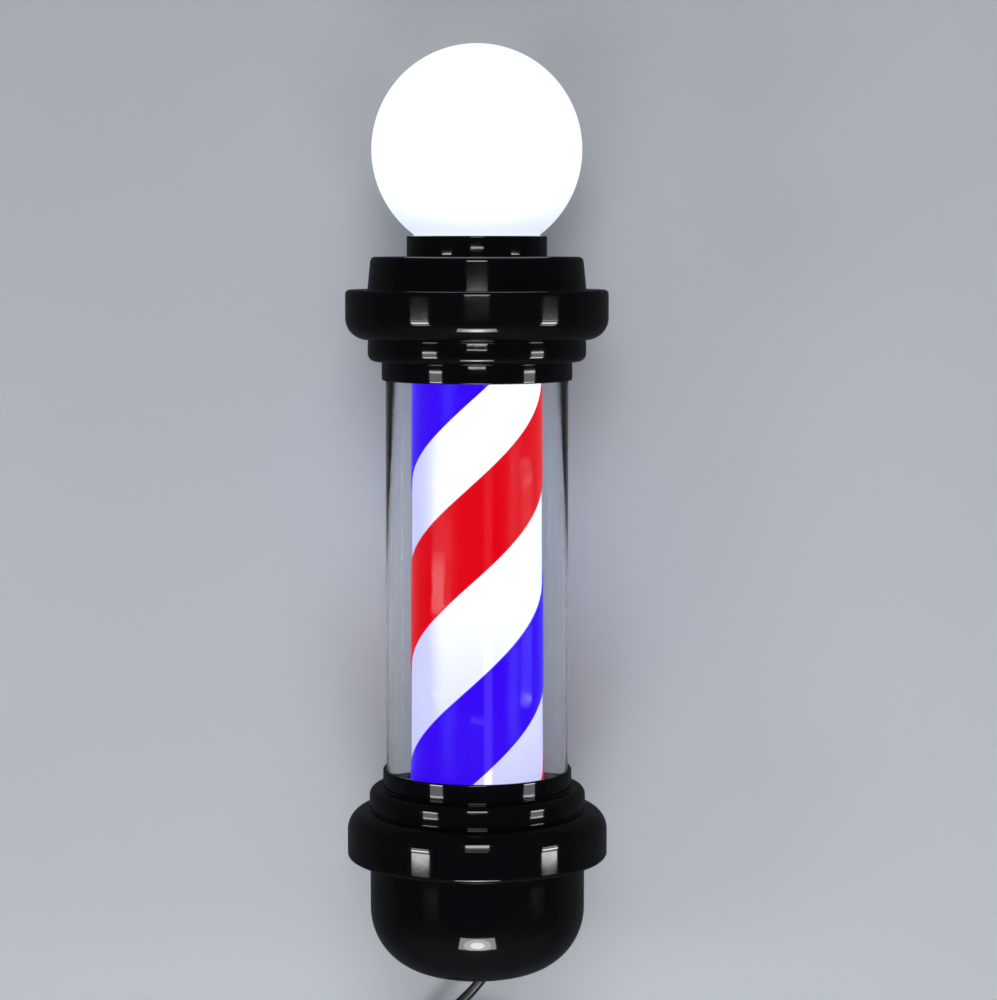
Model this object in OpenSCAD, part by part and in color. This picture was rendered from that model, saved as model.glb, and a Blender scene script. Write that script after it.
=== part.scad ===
// Wall-hung barber pole light: a lit globe over a clear tube in which a striped
// cylinder turns. Two equal stepped cap castings hold the tube and hang on the wall.
// The origin is the middle of the four wall-screw holes, in the wall's plane.
// +Y runs into the wall, +Z is up, and the pole's own axis stands off towards -Y.

/* [Wall fixing] */
// Gap between the wall and the big rings
wall_gap = 24.5; // [22:0.5:50]
// Pitch of the two screw holes across one bracket
wall_pitch_x = 60; // [58:1:74]
// Radius of a wall-screw hole
wall_hole_r = 2.75; // [2:0.25:3.25]
// Thickness of the bracket's steel
bracket_t = 3; // [2:0.5:4]
// Height of a bracket's wall plate
plate_h = 36; // [34:1:44]
// Width of a bracket's wall plate
plate_w = 90; // [80:1:100]

/* [Clear tube] */
// Length of tube that shows between the caps
show_len = 300; // [240:5:600]
// Outer radius of the tube
tube_r = 70; // [66:0.5:80]
// Wall of the tube
tube_wall = 3; // [2:0.5:4]

/* [Cap castings] */
// Wall of the collar that grips the tube
collar_wall = 2.75; // [1.5:0.25:3]
// Height of the collar
step3_h = 14.5; // [12:0.5:20]
// Width of the ledge between the collar and the middle step
step2_ledge = 10.5; // [9:0.5:14]
// Height of the middle step
step2_h = 16.5; // [14:0.5:24]
// How far the big ring stands out past the middle step, the drum and the dome
ring_ledge = 17; // [17:0.5:22]
// Height of the big ring
ring_h = 38; // [36:0.5:50]
// Round of the big ring on its tube side
ring_round = 16.5; // [8:0.5:16.5]
// Wall of the big ring
ring_wall = 4; // [3.8:0.1:5]
// Wall of the other shells
shell = 3; // [2:0.25:3.5]

/* [Lid] */
// Radius of the drum where it leaves the big ring
drum_r = 83.5; // [76:0.5:85]
// How much the drum narrows to its top
drum_taper = 2.5; // [0:0.5:4]
// Height of the drum
drum_h = 25; // [18:0.5:40]

/* [Globe] */
// Radius of the globe
globe_r = 80; // [70:1:100]
// Wall of the globe
globe_wall = 2.5; // [2:0.5:4]
// Radius of the globe's neck
neck_r = 48; // [44:0.5:50]
// Height of the gallery that holds the neck
gallery_h = 15.6; // [14:0.2:24]
// Wall of the gallery
gallery_wall = 4.5; // [3:0.25:5]

/* [Dome] */
// Radius of the dome under the lower ring
dome_r = 83; // [78:0.5:85]
// Depth of the dome
dome_h = 95; // [86:1:120]
// Radius of the dome's knuckle
knuckle_r = 50; // [40:1:54]
// Radius of the dome's crown
crown_r = 160; // [120:1:200]

/* [Striped cylinder] */
// Outer radius of the white sleeve
sleeve_r = 50; // [46:0.5:52]
// Wall of the sleeve
sleeve_wall = 1.5; // [1:0.25:2]
// Rise of a stripe in one turn
stripe_pitch = 288; // [260:4:400]
// Thickness of the coloured film
film_t = 0.5; // [0.3:0.1:0.8]
// Height of the red stripe's lower edge at the front, over the middle
red_low = 3; // [-144:1:144]
// Width of the red stripe, along the sleeve
red_rise = 73; // [50:1:80]
// Width of the white between the red stripe and the blue one above it
white_rise = 63; // [40:1:80]
// Width of the blue stripe, along the sleeve
blue_rise = 75; // [50:1:80]

/* [Drive] */
// Module of the gear teeth
gear_module = 1; // [0.8:0.1:1.1]
// Teeth on the cylinder's gear
gear_teeth = 60; // [48:2:64]
// Teeth on the motor's pinion
pinion_teeth = 20; // [18:2:24]
// Width of the gear's teeth
gear_w = 6; // [4:0.5:6.5]
// Radius of the motor's body
motor_r = 25; // [20:0.5:26]
// Height of the motor's body
motor_h = 20; // [14:0.5:24]
// Radius of the motor's shaft
shaft_r = 3.5; // [2.5:0.25:4]
// Outer radius of the centre pipe
pipe_r = 6; // [5:0.25:6.5]
// Bore radius of the centre pipe
pipe_bore_r = 4.25; // [3:0.25:4.5]

/* [Switches] */
// Length of a switch's bezel
bezel_l = 21; // [20:0.5:24]
// Height of a switch's bezel
bezel_h = 15; // [14:0.5:18]
// Angle that a rocker tips through
rocker_throw = 20; // [12:1:24]

/* [Cord] */
// Diameter of the cord
cord_d = 8; // [6:0.5:8]

/* [Hidden] */
$fn = 96;
ARC_STEPS = 10;
fit = 0.25;          // free play of a moulded fit
close_fit = 0.05;    // radial play of screws in their holes, and of running bores
rest_gap = 0.3;      // gap between faces that turn past each other

// Cap frame: z counts outwards from the cap's mouth, where the tube shows.
mouth_z = show_len / 2;
bore_r = tube_r + fit;
step3_r = bore_r + collar_wall;
step2_r = step3_r + step2_ledge;
ring_r = max(step2_r, drum_r, dome_r) + ring_ledge;
standoff = ring_r + wall_gap;
step2_z = step3_h + step2_h;
cap_h = step2_z + ring_h;
ring_in_r = ring_r - ring_wall;
seat_z = step2_z + ring_wall;
pocket_r = step2_r - shell;
cavity_round = ring_ledge - ring_wall;
step3_edge = 1.2;
step2_edge = 6;
ring_edge = 3.8;
seal_t = 3;
seal_lip = 2.4;
seal_grip = 8;
seal_squeeze = 0.1;
seal_in_r = tube_r - tube_wall - seal_lip;
deck_t = 2;
deck_r = step2_r - 0.5;
deck_top = seat_z + deck_t;
deck_lead_y = 35;
deck_lead_r = 6;
deck_ring_r = seal_in_r - 6;
tube_end = seat_z - seal_t;

// Posts and screws of a cap
brim_t = 3;
brim_r = ring_in_r - fit - 0.05;
brim_z = cap_h - brim_t;
post_r = 4.5;
post_ring_r = ring_in_r - 7;
post_angles = [45, 135, 225, 315];
deck_boss_r = 3.1;
deck_boss_ring_r = pocket_r - deck_boss_r + 1;
deck_boss_angles = [30, 150, 270];
cover_screw_r = 2;
cover_screw_l = 15;
cover_proud = 0.1;
deck_screw_r = 1.5;
deck_screw_l = 12;

// Rear boss and bracket
cap_mid = step2_z + ring_h / 2;
boss_w = 40;
boss_h = 30;
boss_back = standoff - 6;
boss_wall = 4;
boss_edge = 2.5;
side_screw_r = 2.5;
side_screw_y = standoff - 12;
ear_t = 2.5;
ear_x = boss_w / 2 + 0.2;
ear_h = 26;
ear_front = standoff - 22;
ear_edge = 6;
plate_edge = 5;

// Lid, gallery and globe
drum_top = cap_h + drum_h;
drum_top_r = drum_r - drum_taper;
drum_edge = 4;
gallery_z = drum_top;
gallery_r = neck_r + 1 + gallery_wall;
gallery_base = 2.5;
gasket_t = 1.5;
gallery_top = gallery_z + gallery_h;
neck_end = gallery_z + gallery_base + gasket_t;
globe_drop = sqrt(pow(globe_r, 2) - pow(neck_r, 2));
globe_z = gallery_top + 1 + globe_drop;
grub_angles = [90, 195, 345];
grub_z = gallery_top - 6.5;
grub_r = 2;
lead_hole_r = 12;

// Lampholder and bulb
holder_base_r = 32;
holder_base_t = 3;
holder_z = gallery_z + gallery_base;
holder_r = 20;
holder_h = 39.5;
holder_screw_r = 1.75;
holder_screw_l = 16;
holder_screw_ring_r = 26;
holder_boss_r = 4;
holder_boss_l = 14;
cap_r = 13.1;
cap_l = 28;
cap_tip_r = 4;
cap_cone_r = 9;
cap_cone_h = 3.5;
cap_cone_end = 5;
bulb_neck_r = 16;
bulb_neck_h = 10;
bulb_seat = holder_z + holder_h;
bulb_r = 30;
bulb_cone_h = 32;
bulb_z = bulb_seat + bulb_cone_h + 4;

// Dome
crown_drop = sqrt(pow(crown_r - knuckle_r, 2) - pow(dome_r - knuckle_r, 2));
dome_straight = dome_h - (crown_r - crown_drop);
knuckle_z = cap_h + dome_straight;
pad_w = 54;
pad_h = 24;
pad_z = cap_h + 18;
pad_y = dome_r + 1.5;
pad_t = 3;
pad_reach = 22;

// Striped cylinder and its hubs: z counts outwards from the sleeve's end.
sleeve_end = mouth_z + 6;
hub_boss_r = 12;
hub_boss_out = 12;
hub_boss_in = 12;
hub_rim_h = 10;
hub_rim_r = sleeve_r - sleeve_wall - 0.1;
hub_web_t = 3;
hub_flange_t = 2;
hub_hole_r = 8;
hub_hole_ring_r = 30;
gear_pad_t = 3;
gear_screw_ring_r = 18;
gear_screw_r = 1.4;
gear_z = hub_flange_t + gear_pad_t;
bush_r = 8;
bush_flange_r = 10.5;
bush_flange_t = 1.5;
collar_h = 6;
collar_r = 11;
film_gap = 0.35;
film_r = sleeve_r + film_gap;
film_steps = 10;
slice_turn = 8;

// Motor and what hangs under the lower deck
centre_distance = gear_module * (gear_teeth + pinion_teeth) / 2;
motor_boss_r = 10;
motor_boss_h = 3;
motor_ear_y = motor_r + 6;
motor_ear_t = 1.2;
motor_x = sqrt(pow(deck_ring_r, 2) - pow(motor_ear_y, 2));
motor_screw_r = 2;
motor_screw_l = 9;
pinion_w = gear_w + 2;
pinion_z = sleeve_end + gear_z - 1 - mouth_z;
backlash = 0.3;
driver_size = [34, 62, 22];
driver_ear_y = driver_size.y / 2 + 4;
driver_ear_t = 2;
driver_x = -sqrt(pow(deck_ring_r, 2) - pow(driver_ear_y, 2));
block_size = [40, 18, 15];
block_inset = 8.6;
block_y = block_inset - deck_ring_r;
block_screw_x = 10;
tray_screw_r = 1.5;
tray_screw_l = 6;
pipe_end = deck_top + 9;
nut_af = 19;
nut_h = 7;

// Lights in the cylinder
spine_w = 16;
spine_l = 2 * (sleeve_end - hub_boss_in - 4);
strip_w = 10;
strip_t = 1;
chip_w = 5;
chip_t = 1.5;
chip_count = 8;
chip_pitch = 34;

// Switches
switch_x = bezel_l / 2 + 2.5;
bezel_t = 2;
switch_body_l = bezel_l - 2;
switch_body_h = bezel_h - 2.2;
switch_depth = 14;
rocker_well_l = bezel_l - 4.6;
rocker_well_h = bezel_h - 4.8;
rocker_well_d = 8;
rocker_h = rocker_well_h - 0.6;
rocker_half = rocker_well_l / 2 - 0.8;
pivot_y = pad_y + bezel_t - 1;
pivot_r = 1.2;

// Gland: its azimuth, where 90 is straight back, and its angle below the level
gland_azimuth = 81;
gland_tilt = 50;
gland_l = 22;
gland_boss_r = 10;
gland_thread_r = 6;
gland_level = [cos(gland_azimuth), sin(gland_azimuth), 0];
gland_along = gland_level * cos(gland_tilt) - [0, 0, sin(gland_tilt)];

// Cord: steps from the gland's mouth along the free stretch, to the start of the coil
cord_r = cord_d / 2;
cord_start = [0, -standoff, -mouth_z - knuckle_z] + (dome_r - knuckle_r) * gland_level
    + (knuckle_r + gland_l) * gland_along;
cord_steps = [
    [0, 0, 0], [0.5, 5.5, -7], [-1, 10, -14], [-3.5, 14, -21], [-7.5, 17, -28],
    [-12.5, 18.5, -35], [-18, 19.5, -41.5], [-26, 19.5, -49.5], [-34, 19.5, -57.5], [-42, 19.5, -65.5],
];
cord_route = [for (step = cord_steps) cord_start + step];
cord_sides = 10;
coil_turn_r = 52;
coil_layers = 3;
coil_slack = 0.5;
coil_edge = cord_r - coil_slack;
coil_w = coil_layers * cord_d + 2 * coil_slack;
coil_out_r = coil_turn_r + cord_r + coil_slack;
coil_lead = 30;
coil_entry_angle = 135;
coil_at = cord_route[len(cord_route) - 1] + [
    -coil_lead * sin(coil_entry_angle) - coil_turn_r * cos(coil_entry_angle), cord_d,
    coil_lead * cos(coil_entry_angle) - coil_turn_r * sin(coil_entry_angle)];
tie_w = 9;
tie_t = 1.2;
plug_at = coil_at + [-coil_turn_r, cord_d, -coil_lead];
plug_tail_l = 24;
plug_l = 36;
plug_w = 35;
plug_t = 14;
pin_r = 2;
pin_l = 19;
pin_pitch = 19;

BLACK = [0.02, 0.02, 0.03];
STEEL = [0.62, 0.63, 0.65];
WHITE = [0.95, 0.95, 0.97];

// ---------- outlines ----------

function unit(v) = v / norm(v);
function short_turn(a) = a > 180 ? a - 360 : a < -180 ? a + 360 : a;

// Points of an arc that rounds corner b between its neighbours a and c.
function corner(a, b, c, r) =
    r <= 0 ? [b] :
    let (
        u = unit(a - b),
        w = unit(c - b),
        half = acos(u * w) / 2,
        centre = b + unit(u + w) * r / sin(half),
        from = b + u * r / tan(half) - centre,
        to = b + w * r / tan(half) - centre,
        start = atan2(from.y, from.x),
        turn = short_turn(atan2(to.y, to.x) - start)
    )
    [for (i = [0:ARC_STEPS]) let (t = start + turn * i / ARC_STEPS) centre + r * [cos(t), sin(t)]];

// Closed outline from corners given as [x, y, radius].
function outline(corners) =
    let (n = len(corners))
    [for (i = [0:n - 1])
        let (a = corners[(i + n - 1) % n], b = corners[i], c = corners[(i + 1) % n])
        each corner([a.x, a.y], [b.x, b.y], [c.x, c.y], b.z)];

function arc(centre, r, from, to, steps = ARC_STEPS) =
    [for (i = [0:steps]) let (t = from + (to - from) * i / steps) centre + r * [cos(t), sin(t)]];

module lathe(corners) rotate_extrude() polygon(outline(corners));

module rounded_plate(size, r, t)
    linear_extrude(t) polygon(outline([
        [-size.x / 2, -size.y / 2, r], [size.x / 2, -size.y / 2, r],
        [size.x / 2, size.y / 2, r], [-size.x / 2, size.y / 2, r]]));

module around(angles, r) for (a = angles) rotate(a) translate([r, 0, 0]) children();

// ---------- places ----------

module pole() translate([0, -standoff, 0]) children();
module upper_end() pole() translate([0, 0, mouth_z]) children();
module lower_end() pole() rotate([0, 180, 0]) translate([0, 0, mouth_z]) children();
module upper_hub_place() pole() translate([0, 0, sleeve_end]) children();
module lower_hub_place() pole() rotate([0, 180, 0]) translate([0, 0, sleeve_end]) children();

// ---------- fasteners ----------

// Pan-head screw: the head stands on z = 0 and the shank runs down from there.
module pan_screw(r, l) {
    head_r = 1.9 * r;
    head_h = 1.3 * r;
    difference() {
        union() {
            lathe([[0, 0, 0], [head_r, 0, 0], [head_r, head_h, 0.6 * head_h], [0, head_h, 0]]);
            translate([0, 0, -l]) cylinder(r = r, h = l + 0.1);
        }
        for (a = [0, 90]) rotate(a)
            translate([-head_r * 0.6, -0.16 * r, 0.5 * head_h]) cube([head_r * 1.2, 0.32 * r, head_h]);
    }
}

// Countersunk screw: the head's face lies on z = 0 and the shank runs down from there.
function flat_head_r(r) = 1.9 * r;
function flat_head_h(r) = flat_head_r(r) - r;

module flat_screw(r, l)
    difference() {
        lathe([[0, -l, 0], [r, -l, 0.4], [r, -flat_head_h(r), 0], [flat_head_r(r), 0, 0], [0, 0, 0]]);
        for (a = [0, 90]) rotate(a) translate([-1.1 * r, -0.16 * r, -0.6 * flat_head_h(r)])
            cube([2.2 * r, 0.32 * r, r]);
    }

// What a countersunk screw and its play take out of a plate of thickness t.
module flat_screw_hole(r, t) {
    translate([0, 0, -t - 1]) cylinder(r = r + fit, h = t + 2);
    translate([0, 0, -flat_head_h(r)])
        cylinder(r1 = r + close_fit, r2 = 2 * flat_head_r(r) - r + close_fit, h = 2 * flat_head_h(r));
}

module hex_nut(af, h, bore)
    difference() {
        cylinder(r = af / sqrt(3), h = h, $fn = 6);
        translate([0, 0, -1]) cylinder(r = bore, h = h + 2);
    }

// ---------- cap casting, the same moulding at both ends ----------

module cap_outside() lathe([
    [0, 0, 0], [step3_r, 0, step3_edge], [step3_r, step3_h, 0.6], [step2_r, step3_h, step2_edge],
    [step2_r, step2_z, 0], [ring_r, step2_z, min(ring_round, ring_r - step2_r - 0.5)],
    [ring_r, cap_h, ring_edge], [0, cap_h, 0]]);

module cap_cavity() lathe([
    [0, -1, 0], [bore_r, -1, 0], [bore_r, step3_h + shell, 0],
    [pocket_r, step3_h + shell, step2_edge - shell],
    [pocket_r, seat_z, 0], [ring_in_r, seat_z, cavity_round],
    [ring_in_r, cap_h + 1, 0], [0, cap_h + 1, 0]]);

module cap_posts() {
    around(post_angles, post_ring_r) cylinder(r = post_r, h = brim_z);
    around(post_angles, post_ring_r) translate([0, -1, 0]) cube([12, 2, brim_z - 4]);
    around(deck_boss_angles, deck_boss_ring_r) cylinder(r = deck_boss_r, h = seat_z);
}

module cap_screw_holes() {
    around(post_angles, post_ring_r) translate([0, 0, brim_z - 16])
        cylinder(r = cover_screw_r + close_fit, h = 17);
    around(deck_boss_angles, deck_boss_ring_r) translate([0, 0, seat_z - 13])
        cylinder(r = deck_screw_r + close_fit, h = 14);
}

// Box at the back that the bracket's ears take hold of.
module rear_boss()
    translate([0, 0, cap_mid - boss_h / 2]) linear_extrude(boss_h) polygon(outline([
        [-boss_w / 2, ring_r - 12, 0], [boss_w / 2, ring_r - 12, 0],
        [boss_w / 2, boss_back, boss_edge], [-boss_w / 2, boss_back, boss_edge]]));

module rear_boss_pocket()
    difference() {
        translate([0, 0, cap_mid - boss_h / 2 + boss_wall]) linear_extrude(boss_h - 2 * boss_wall)
            polygon(outline([
                [-boss_w / 2 + boss_wall, ring_r + 2, 1.5], [boss_w / 2 - boss_wall, ring_r + 2, 1.5],
                [boss_w / 2 - boss_wall, standoff, 0], [-boss_w / 2 + boss_wall, standoff, 0]]));
        for (s = [-1, 1]) translate([s * boss_w / 2, side_screw_y, cap_mid]) rotate([0, -s * 90, 0])
            cylinder(r = side_screw_r + 2.5, h = 12);
    }

module cap_casting()
    difference() {
        union() {
            cap_outside();
            rear_boss();
        }
        difference() {
            cap_cavity();
            cap_posts();
        }
        cap_screw_holes();
        rear_boss_pocket();
        for (s = [-1, 1]) translate([s * (boss_w / 2 + 1), side_screw_y, cap_mid])
            rotate([0, -s * 90, 0]) cylinder(r = side_screw_r + close_fit, h = 14);
    }

module upper_housing() color(BLACK) upper_end() cap_casting();
module lower_housing() color(BLACK) lower_end() cap_casting();

// ---------- decks, seals, tube and pipe ----------

module deck_blank() {
    difference() {
        translate([0, 0, seat_z]) cylinder(r = deck_r, h = deck_t);
        translate([0, 0, seat_z - 1]) cylinder(r = pipe_r + fit, h = deck_t + 2);
        around(deck_boss_angles, deck_boss_ring_r) translate([0, 0, seat_z - 1])
            cylinder(r = deck_screw_r + fit, h = deck_t + 2);
        children();
    }
}

module deck_lead_hole() translate([0, deck_lead_y, seat_z - 1])
    cylinder(r = deck_lead_r, h = deck_t + 2);

module upper_deck() color(STEEL) upper_end() deck_blank() {
    deck_lead_hole();
}

module lower_deck() color(STEEL) lower_end() deck_blank() {
    translate([centre_distance, 0, seat_z - 1]) cylinder(r = motor_boss_r + fit, h = deck_t + 2);
    motor_screw_places() translate([0, 0, -1]) cylinder(r = motor_screw_r + fit, h = 20);
    tray_screw_places() translate([0, 0, -10]) cylinder(r = tray_screw_r + close_fit, h = 20);
    deck_lead_hole();
}

module tube_seal() {
    inside = tube_r - tube_wall - seal_squeeze;
    outside = tube_r + seal_squeeze;
    lathe([
        [seal_in_r, tube_end - seal_grip, 0.8], [inside, tube_end - seal_grip, 0.8],
        [inside, tube_end, 0], [outside, tube_end, 0],
        [outside, tube_end - seal_grip, 0.6], [tube_r + seal_lip, tube_end - seal_grip, 0.6],
        [tube_r + seal_lip, seat_z, 0.4], [seal_in_r, seat_z, 0.4]]);
}

module upper_seal() color([0.1, 0.1, 0.1]) upper_end() tube_seal();
module lower_seal() color([0.1, 0.1, 0.1]) lower_end() tube_seal();

module clear_tube() color([0.85, 0.9, 0.95, 0.35]) pole()
    difference() {
        cylinder(r = tube_r, h = 2 * (mouth_z + tube_end), center = true);
        cylinder(r = tube_r - tube_wall, h = 2 * (mouth_z + tube_end) + 2, center = true);
    }

module centre_pipe() color(STEEL) pole()
    difference() {
        cylinder(r = pipe_r, h = 2 * (mouth_z + pipe_end), center = true);
        cylinder(r = pipe_bore_r, h = 2 * (mouth_z + pipe_end) + 2, center = true);
    }

module pipe_nut() translate([0, 0, deck_top]) hex_nut(nut_af, nut_h, pipe_r + close_fit);

module pipe_nuts() color(STEEL) {
    upper_end() pipe_nut();
    lower_end() pipe_nut();
}

module deck_screws_place() around(deck_boss_angles, deck_boss_ring_r)
    translate([0, 0, deck_top]) pan_screw(deck_screw_r, deck_screw_l);

module deck_screws() color(STEEL) {
    upper_end() deck_screws_place();
    lower_end() deck_screws_place();
}

// ---------- lid and dome ----------

module cover_screw_places() around(post_angles, post_ring_r)
    translate([0, 0, cap_h + cover_proud]) children();

module cover_screws() cover_screw_places() flat_screw(cover_screw_r, cover_screw_l);
module brim_holes() cover_screw_places() flat_screw_hole(cover_screw_r, brim_t + cover_proud);

module lid() color(BLACK) upper_end()
    difference() {
        lathe([
            [0, brim_z, 0], [brim_r, brim_z, 0], [brim_r, cap_h, 0.5], [drum_r, cap_h, 0.8],
            [drum_top_r, drum_top, drum_edge], [0, drum_top, 0]]);
        difference() {
            lathe([
                [0, brim_z - 1, 0], [drum_r - shell, brim_z - 1, 0], [drum_r - shell, cap_h, 0],
                [drum_top_r - shell, drum_top - shell, drum_edge - shell], [0, drum_top - shell, 0]]);
            lampholder_screw_places() translate([0, 0, -holder_boss_l])
                cylinder(r = holder_boss_r, h = holder_boss_l + shell);
        }
        brim_holes();
        translate([0, 0, drum_top - shell - 1]) cylinder(r = lead_hole_r, h = shell + 2);
        lampholder_screw_places() translate([0, 0, -holder_boss_l - 1])
            cylinder(r = holder_screw_r + close_fit, h = holder_boss_l + 2);
    }

module lid_screws() color(BLACK) upper_end() cover_screws();
module dome_screws() color(BLACK) lower_end() cover_screws();

// Bowl outline with a straight wall, a knuckle and a crown, drawn inwards by t.
function bowl(t) =
    let (
        knuckle = [dome_r - knuckle_r, knuckle_z],
        meet = atan2(crown_drop, dome_r - knuckle_r),
        crown = [0, cap_h + dome_h - crown_r]
    )
    concat([[dome_r - t, cap_h]],
        arc(knuckle, knuckle_r - t, 0, meet),
        arc(crown, crown_r - t, meet, 90));

// Flat at the back of the dome that holds the switches.
module switch_pad(t)
    translate([0, 0, pad_z]) rotate([-90, 0, 0]) translate([0, 0, dome_r - pad_reach])
        rounded_plate([pad_w - 2 * t, pad_h - 2 * t], 4 - t / 2, pad_y - dome_r + pad_reach - t);

module gland_place()
    rotate([0, 0, 180 - gland_azimuth]) translate([dome_r - knuckle_r, 0, knuckle_z])
        rotate([0, 90 - gland_tilt, 0]) translate([0, 0, knuckle_r]) children();

module dome() color(BLACK) lower_end()
    difference() {
        union() {
            rotate_extrude()
                polygon(concat([[0, brim_z], [brim_r, brim_z], [brim_r, cap_h]], bowl(0)));
            switch_pad(0);
            gland_place() translate([0, 0, -6]) cylinder(r = gland_boss_r, h = 7.5);
        }
        difference() {
            union() {
                rotate_extrude()
                    polygon(concat([[0, brim_z - 1], [dome_r - shell, brim_z - 1]], bowl(shell)));
                switch_pad(pad_t);
            }
            gland_place() translate([0, 0, -6]) cylinder(r = gland_boss_r, h = 7.5);
        }
        brim_holes();
        for (s = [-1, 1]) translate([s * switch_x - switch_body_l / 2 - 0.2, dome_r - 10,
                pad_z - switch_body_h / 2 - 0.2])
            cube([switch_body_l + 0.4, 20, switch_body_h + 0.4]);
        gland_place() translate([0, 0, -8]) cylinder(r = gland_thread_r + close_fit, h = 12);
    }

// ---------- globe and its lamp ----------

module globe() color(WHITE) upper_end()
    difference() {
        union() {
            translate([0, 0, globe_z]) sphere(r = globe_r);
            translate([0, 0, neck_end]) cylinder(r = neck_r, h = globe_z - globe_drop - neck_end + 4);
        }
        translate([0, 0, globe_z]) sphere(r = globe_r - globe_wall);
        translate([0, 0, globe_z - globe_r - 1])
            cylinder(r = neck_r - globe_wall, h = globe_r - globe_drop + 4);
    }

module globe_gasket() color([0.85, 0.85, 0.85]) upper_end()
    translate([0, 0, gallery_z + gallery_base]) difference() {
        cylinder(r = neck_r + 0.6, h = gasket_t);
        translate([0, 0, -1]) cylinder(r = neck_r - 4, h = gasket_t + 2);
    }

module globe_gallery() color(BLACK) upper_end()
    difference() {
        lathe([
            [0, gallery_z, 0], [gallery_r, gallery_z, 0.6], [gallery_r, gallery_top, 1.2],
            [neck_r + 1, gallery_top, 0.6], [neck_r + 1, gallery_z + gallery_base, 0],
            [0, gallery_z + gallery_base, 0]]);
        translate([0, 0, gallery_z - 1]) cylinder(r = lead_hole_r, h = gallery_base + 2);
        lampholder_screw_places() translate([0, 0, -10])
            cylinder(r = holder_screw_r + close_fit, h = 20);
        around(grub_angles, neck_r) translate([0, 0, grub_z]) rotate([0, 90, 0])
            cylinder(r = grub_r + close_fit, h = 10);
    }

module gallery_screws() color(STEEL) upper_end()
    around(grub_angles, neck_r + 0.1) translate([0, 0, grub_z]) rotate([0, 90, 0])
        difference() {
            cylinder(r = grub_r, h = gallery_wall + 0.6);
            translate([0, 0, gallery_wall - 0.6]) cylinder(r = 1, h = 3, $fn = 6);
        }

module lampholder_screw_places()
    around([0, 180], holder_screw_ring_r) translate([0, 0, holder_z + holder_base_t]) children();

module lampholder() color([0.9, 0.9, 0.88]) upper_end()
    difference() {
        lathe([
            [0, holder_z, 0], [holder_base_r, holder_z, 0], [holder_base_r, holder_z + holder_base_t, 1],
            [holder_r + 2, holder_z + holder_base_t, 2], [holder_r, holder_z + 8, 2],
            [holder_r, holder_z + holder_h, 1.5], [0, holder_z + holder_h, 0]]);
        translate([0, 0, bulb_seat - cap_l - rest_gap]) cylinder(r = cap_r + 0.2, h = cap_l + 2);
        translate([0, 0, holder_z - 1]) cylinder(r = 5, h = 8);
        lampholder_screw_places() translate([0, 0, -10])
            cylinder(r = holder_screw_r + close_fit, h = 20);
    }

module lampholder_screws() color(STEEL) upper_end()
    lampholder_screw_places() pan_screw(holder_screw_r, holder_screw_l);

module bulb_base() color([0.88, 0.88, 0.86]) upper_end()
    lathe([
        [0, bulb_seat - cap_l, 0], [cap_tip_r, bulb_seat - cap_l, 0],
        [cap_cone_r, bulb_seat - cap_l + cap_cone_h, 0],
        [cap_r, bulb_seat - cap_l + cap_cone_end, 0.5],
        [cap_r, bulb_seat + rest_gap, 0], [bulb_neck_r, bulb_seat + rest_gap, 1.5],
        [bulb_neck_r + 2, bulb_seat + bulb_neck_h, 8],
        [bulb_r - 0.5, bulb_seat + bulb_cone_h, 0.5], [0, bulb_seat + bulb_cone_h, 0]]);

module bulb_diffuser() color(WHITE) upper_end()
    translate([0, 0, bulb_z]) difference() {
        sphere(r = bulb_r);
        sphere(r = bulb_r - 1.5);
        translate([0, 0, -bulb_r - 4]) cube([3 * bulb_r, 3 * bulb_r, 2 * bulb_r], center = true);
    }

// ---------- striped cylinder ----------

module stripe_sleeve() color(WHITE) pole()
    difference() {
        cylinder(r = sleeve_r, h = 2 * sleeve_end, center = true);
        cylinder(r = sleeve_r - sleeve_wall, h = 2 * sleeve_end + 2, center = true);
    }

// Band of film that climbs the sleeve to the right. Its lower edge passes the front at
// height low, and its upper edge passes it at low + rise.
module film_band(low, rise) {
    length = 2 * sleeve_end;
    climb = 360 * length / stripe_pitch;
    width = 360 * rise / stripe_pitch;
    first = 270 - width - 360 * (sleeve_end + low) / stripe_pitch;
    pole() translate([0, 0, -sleeve_end])
        linear_extrude(length, twist = -climb, slices = ceil(climb / slice_turn), $fn = 24)
            polygon(concat(
                arc([0, 0], film_r, first, first + width, film_steps),
                arc([0, 0], film_r + film_t, first + width, first, film_steps)));
}

module red_stripe() color([0.82, 0.02, 0.04]) film_band(red_low, red_rise);
module blue_stripe() color([0.12, 0.03, 0.9]) film_band(red_low + red_rise + white_rise, blue_rise);

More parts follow.
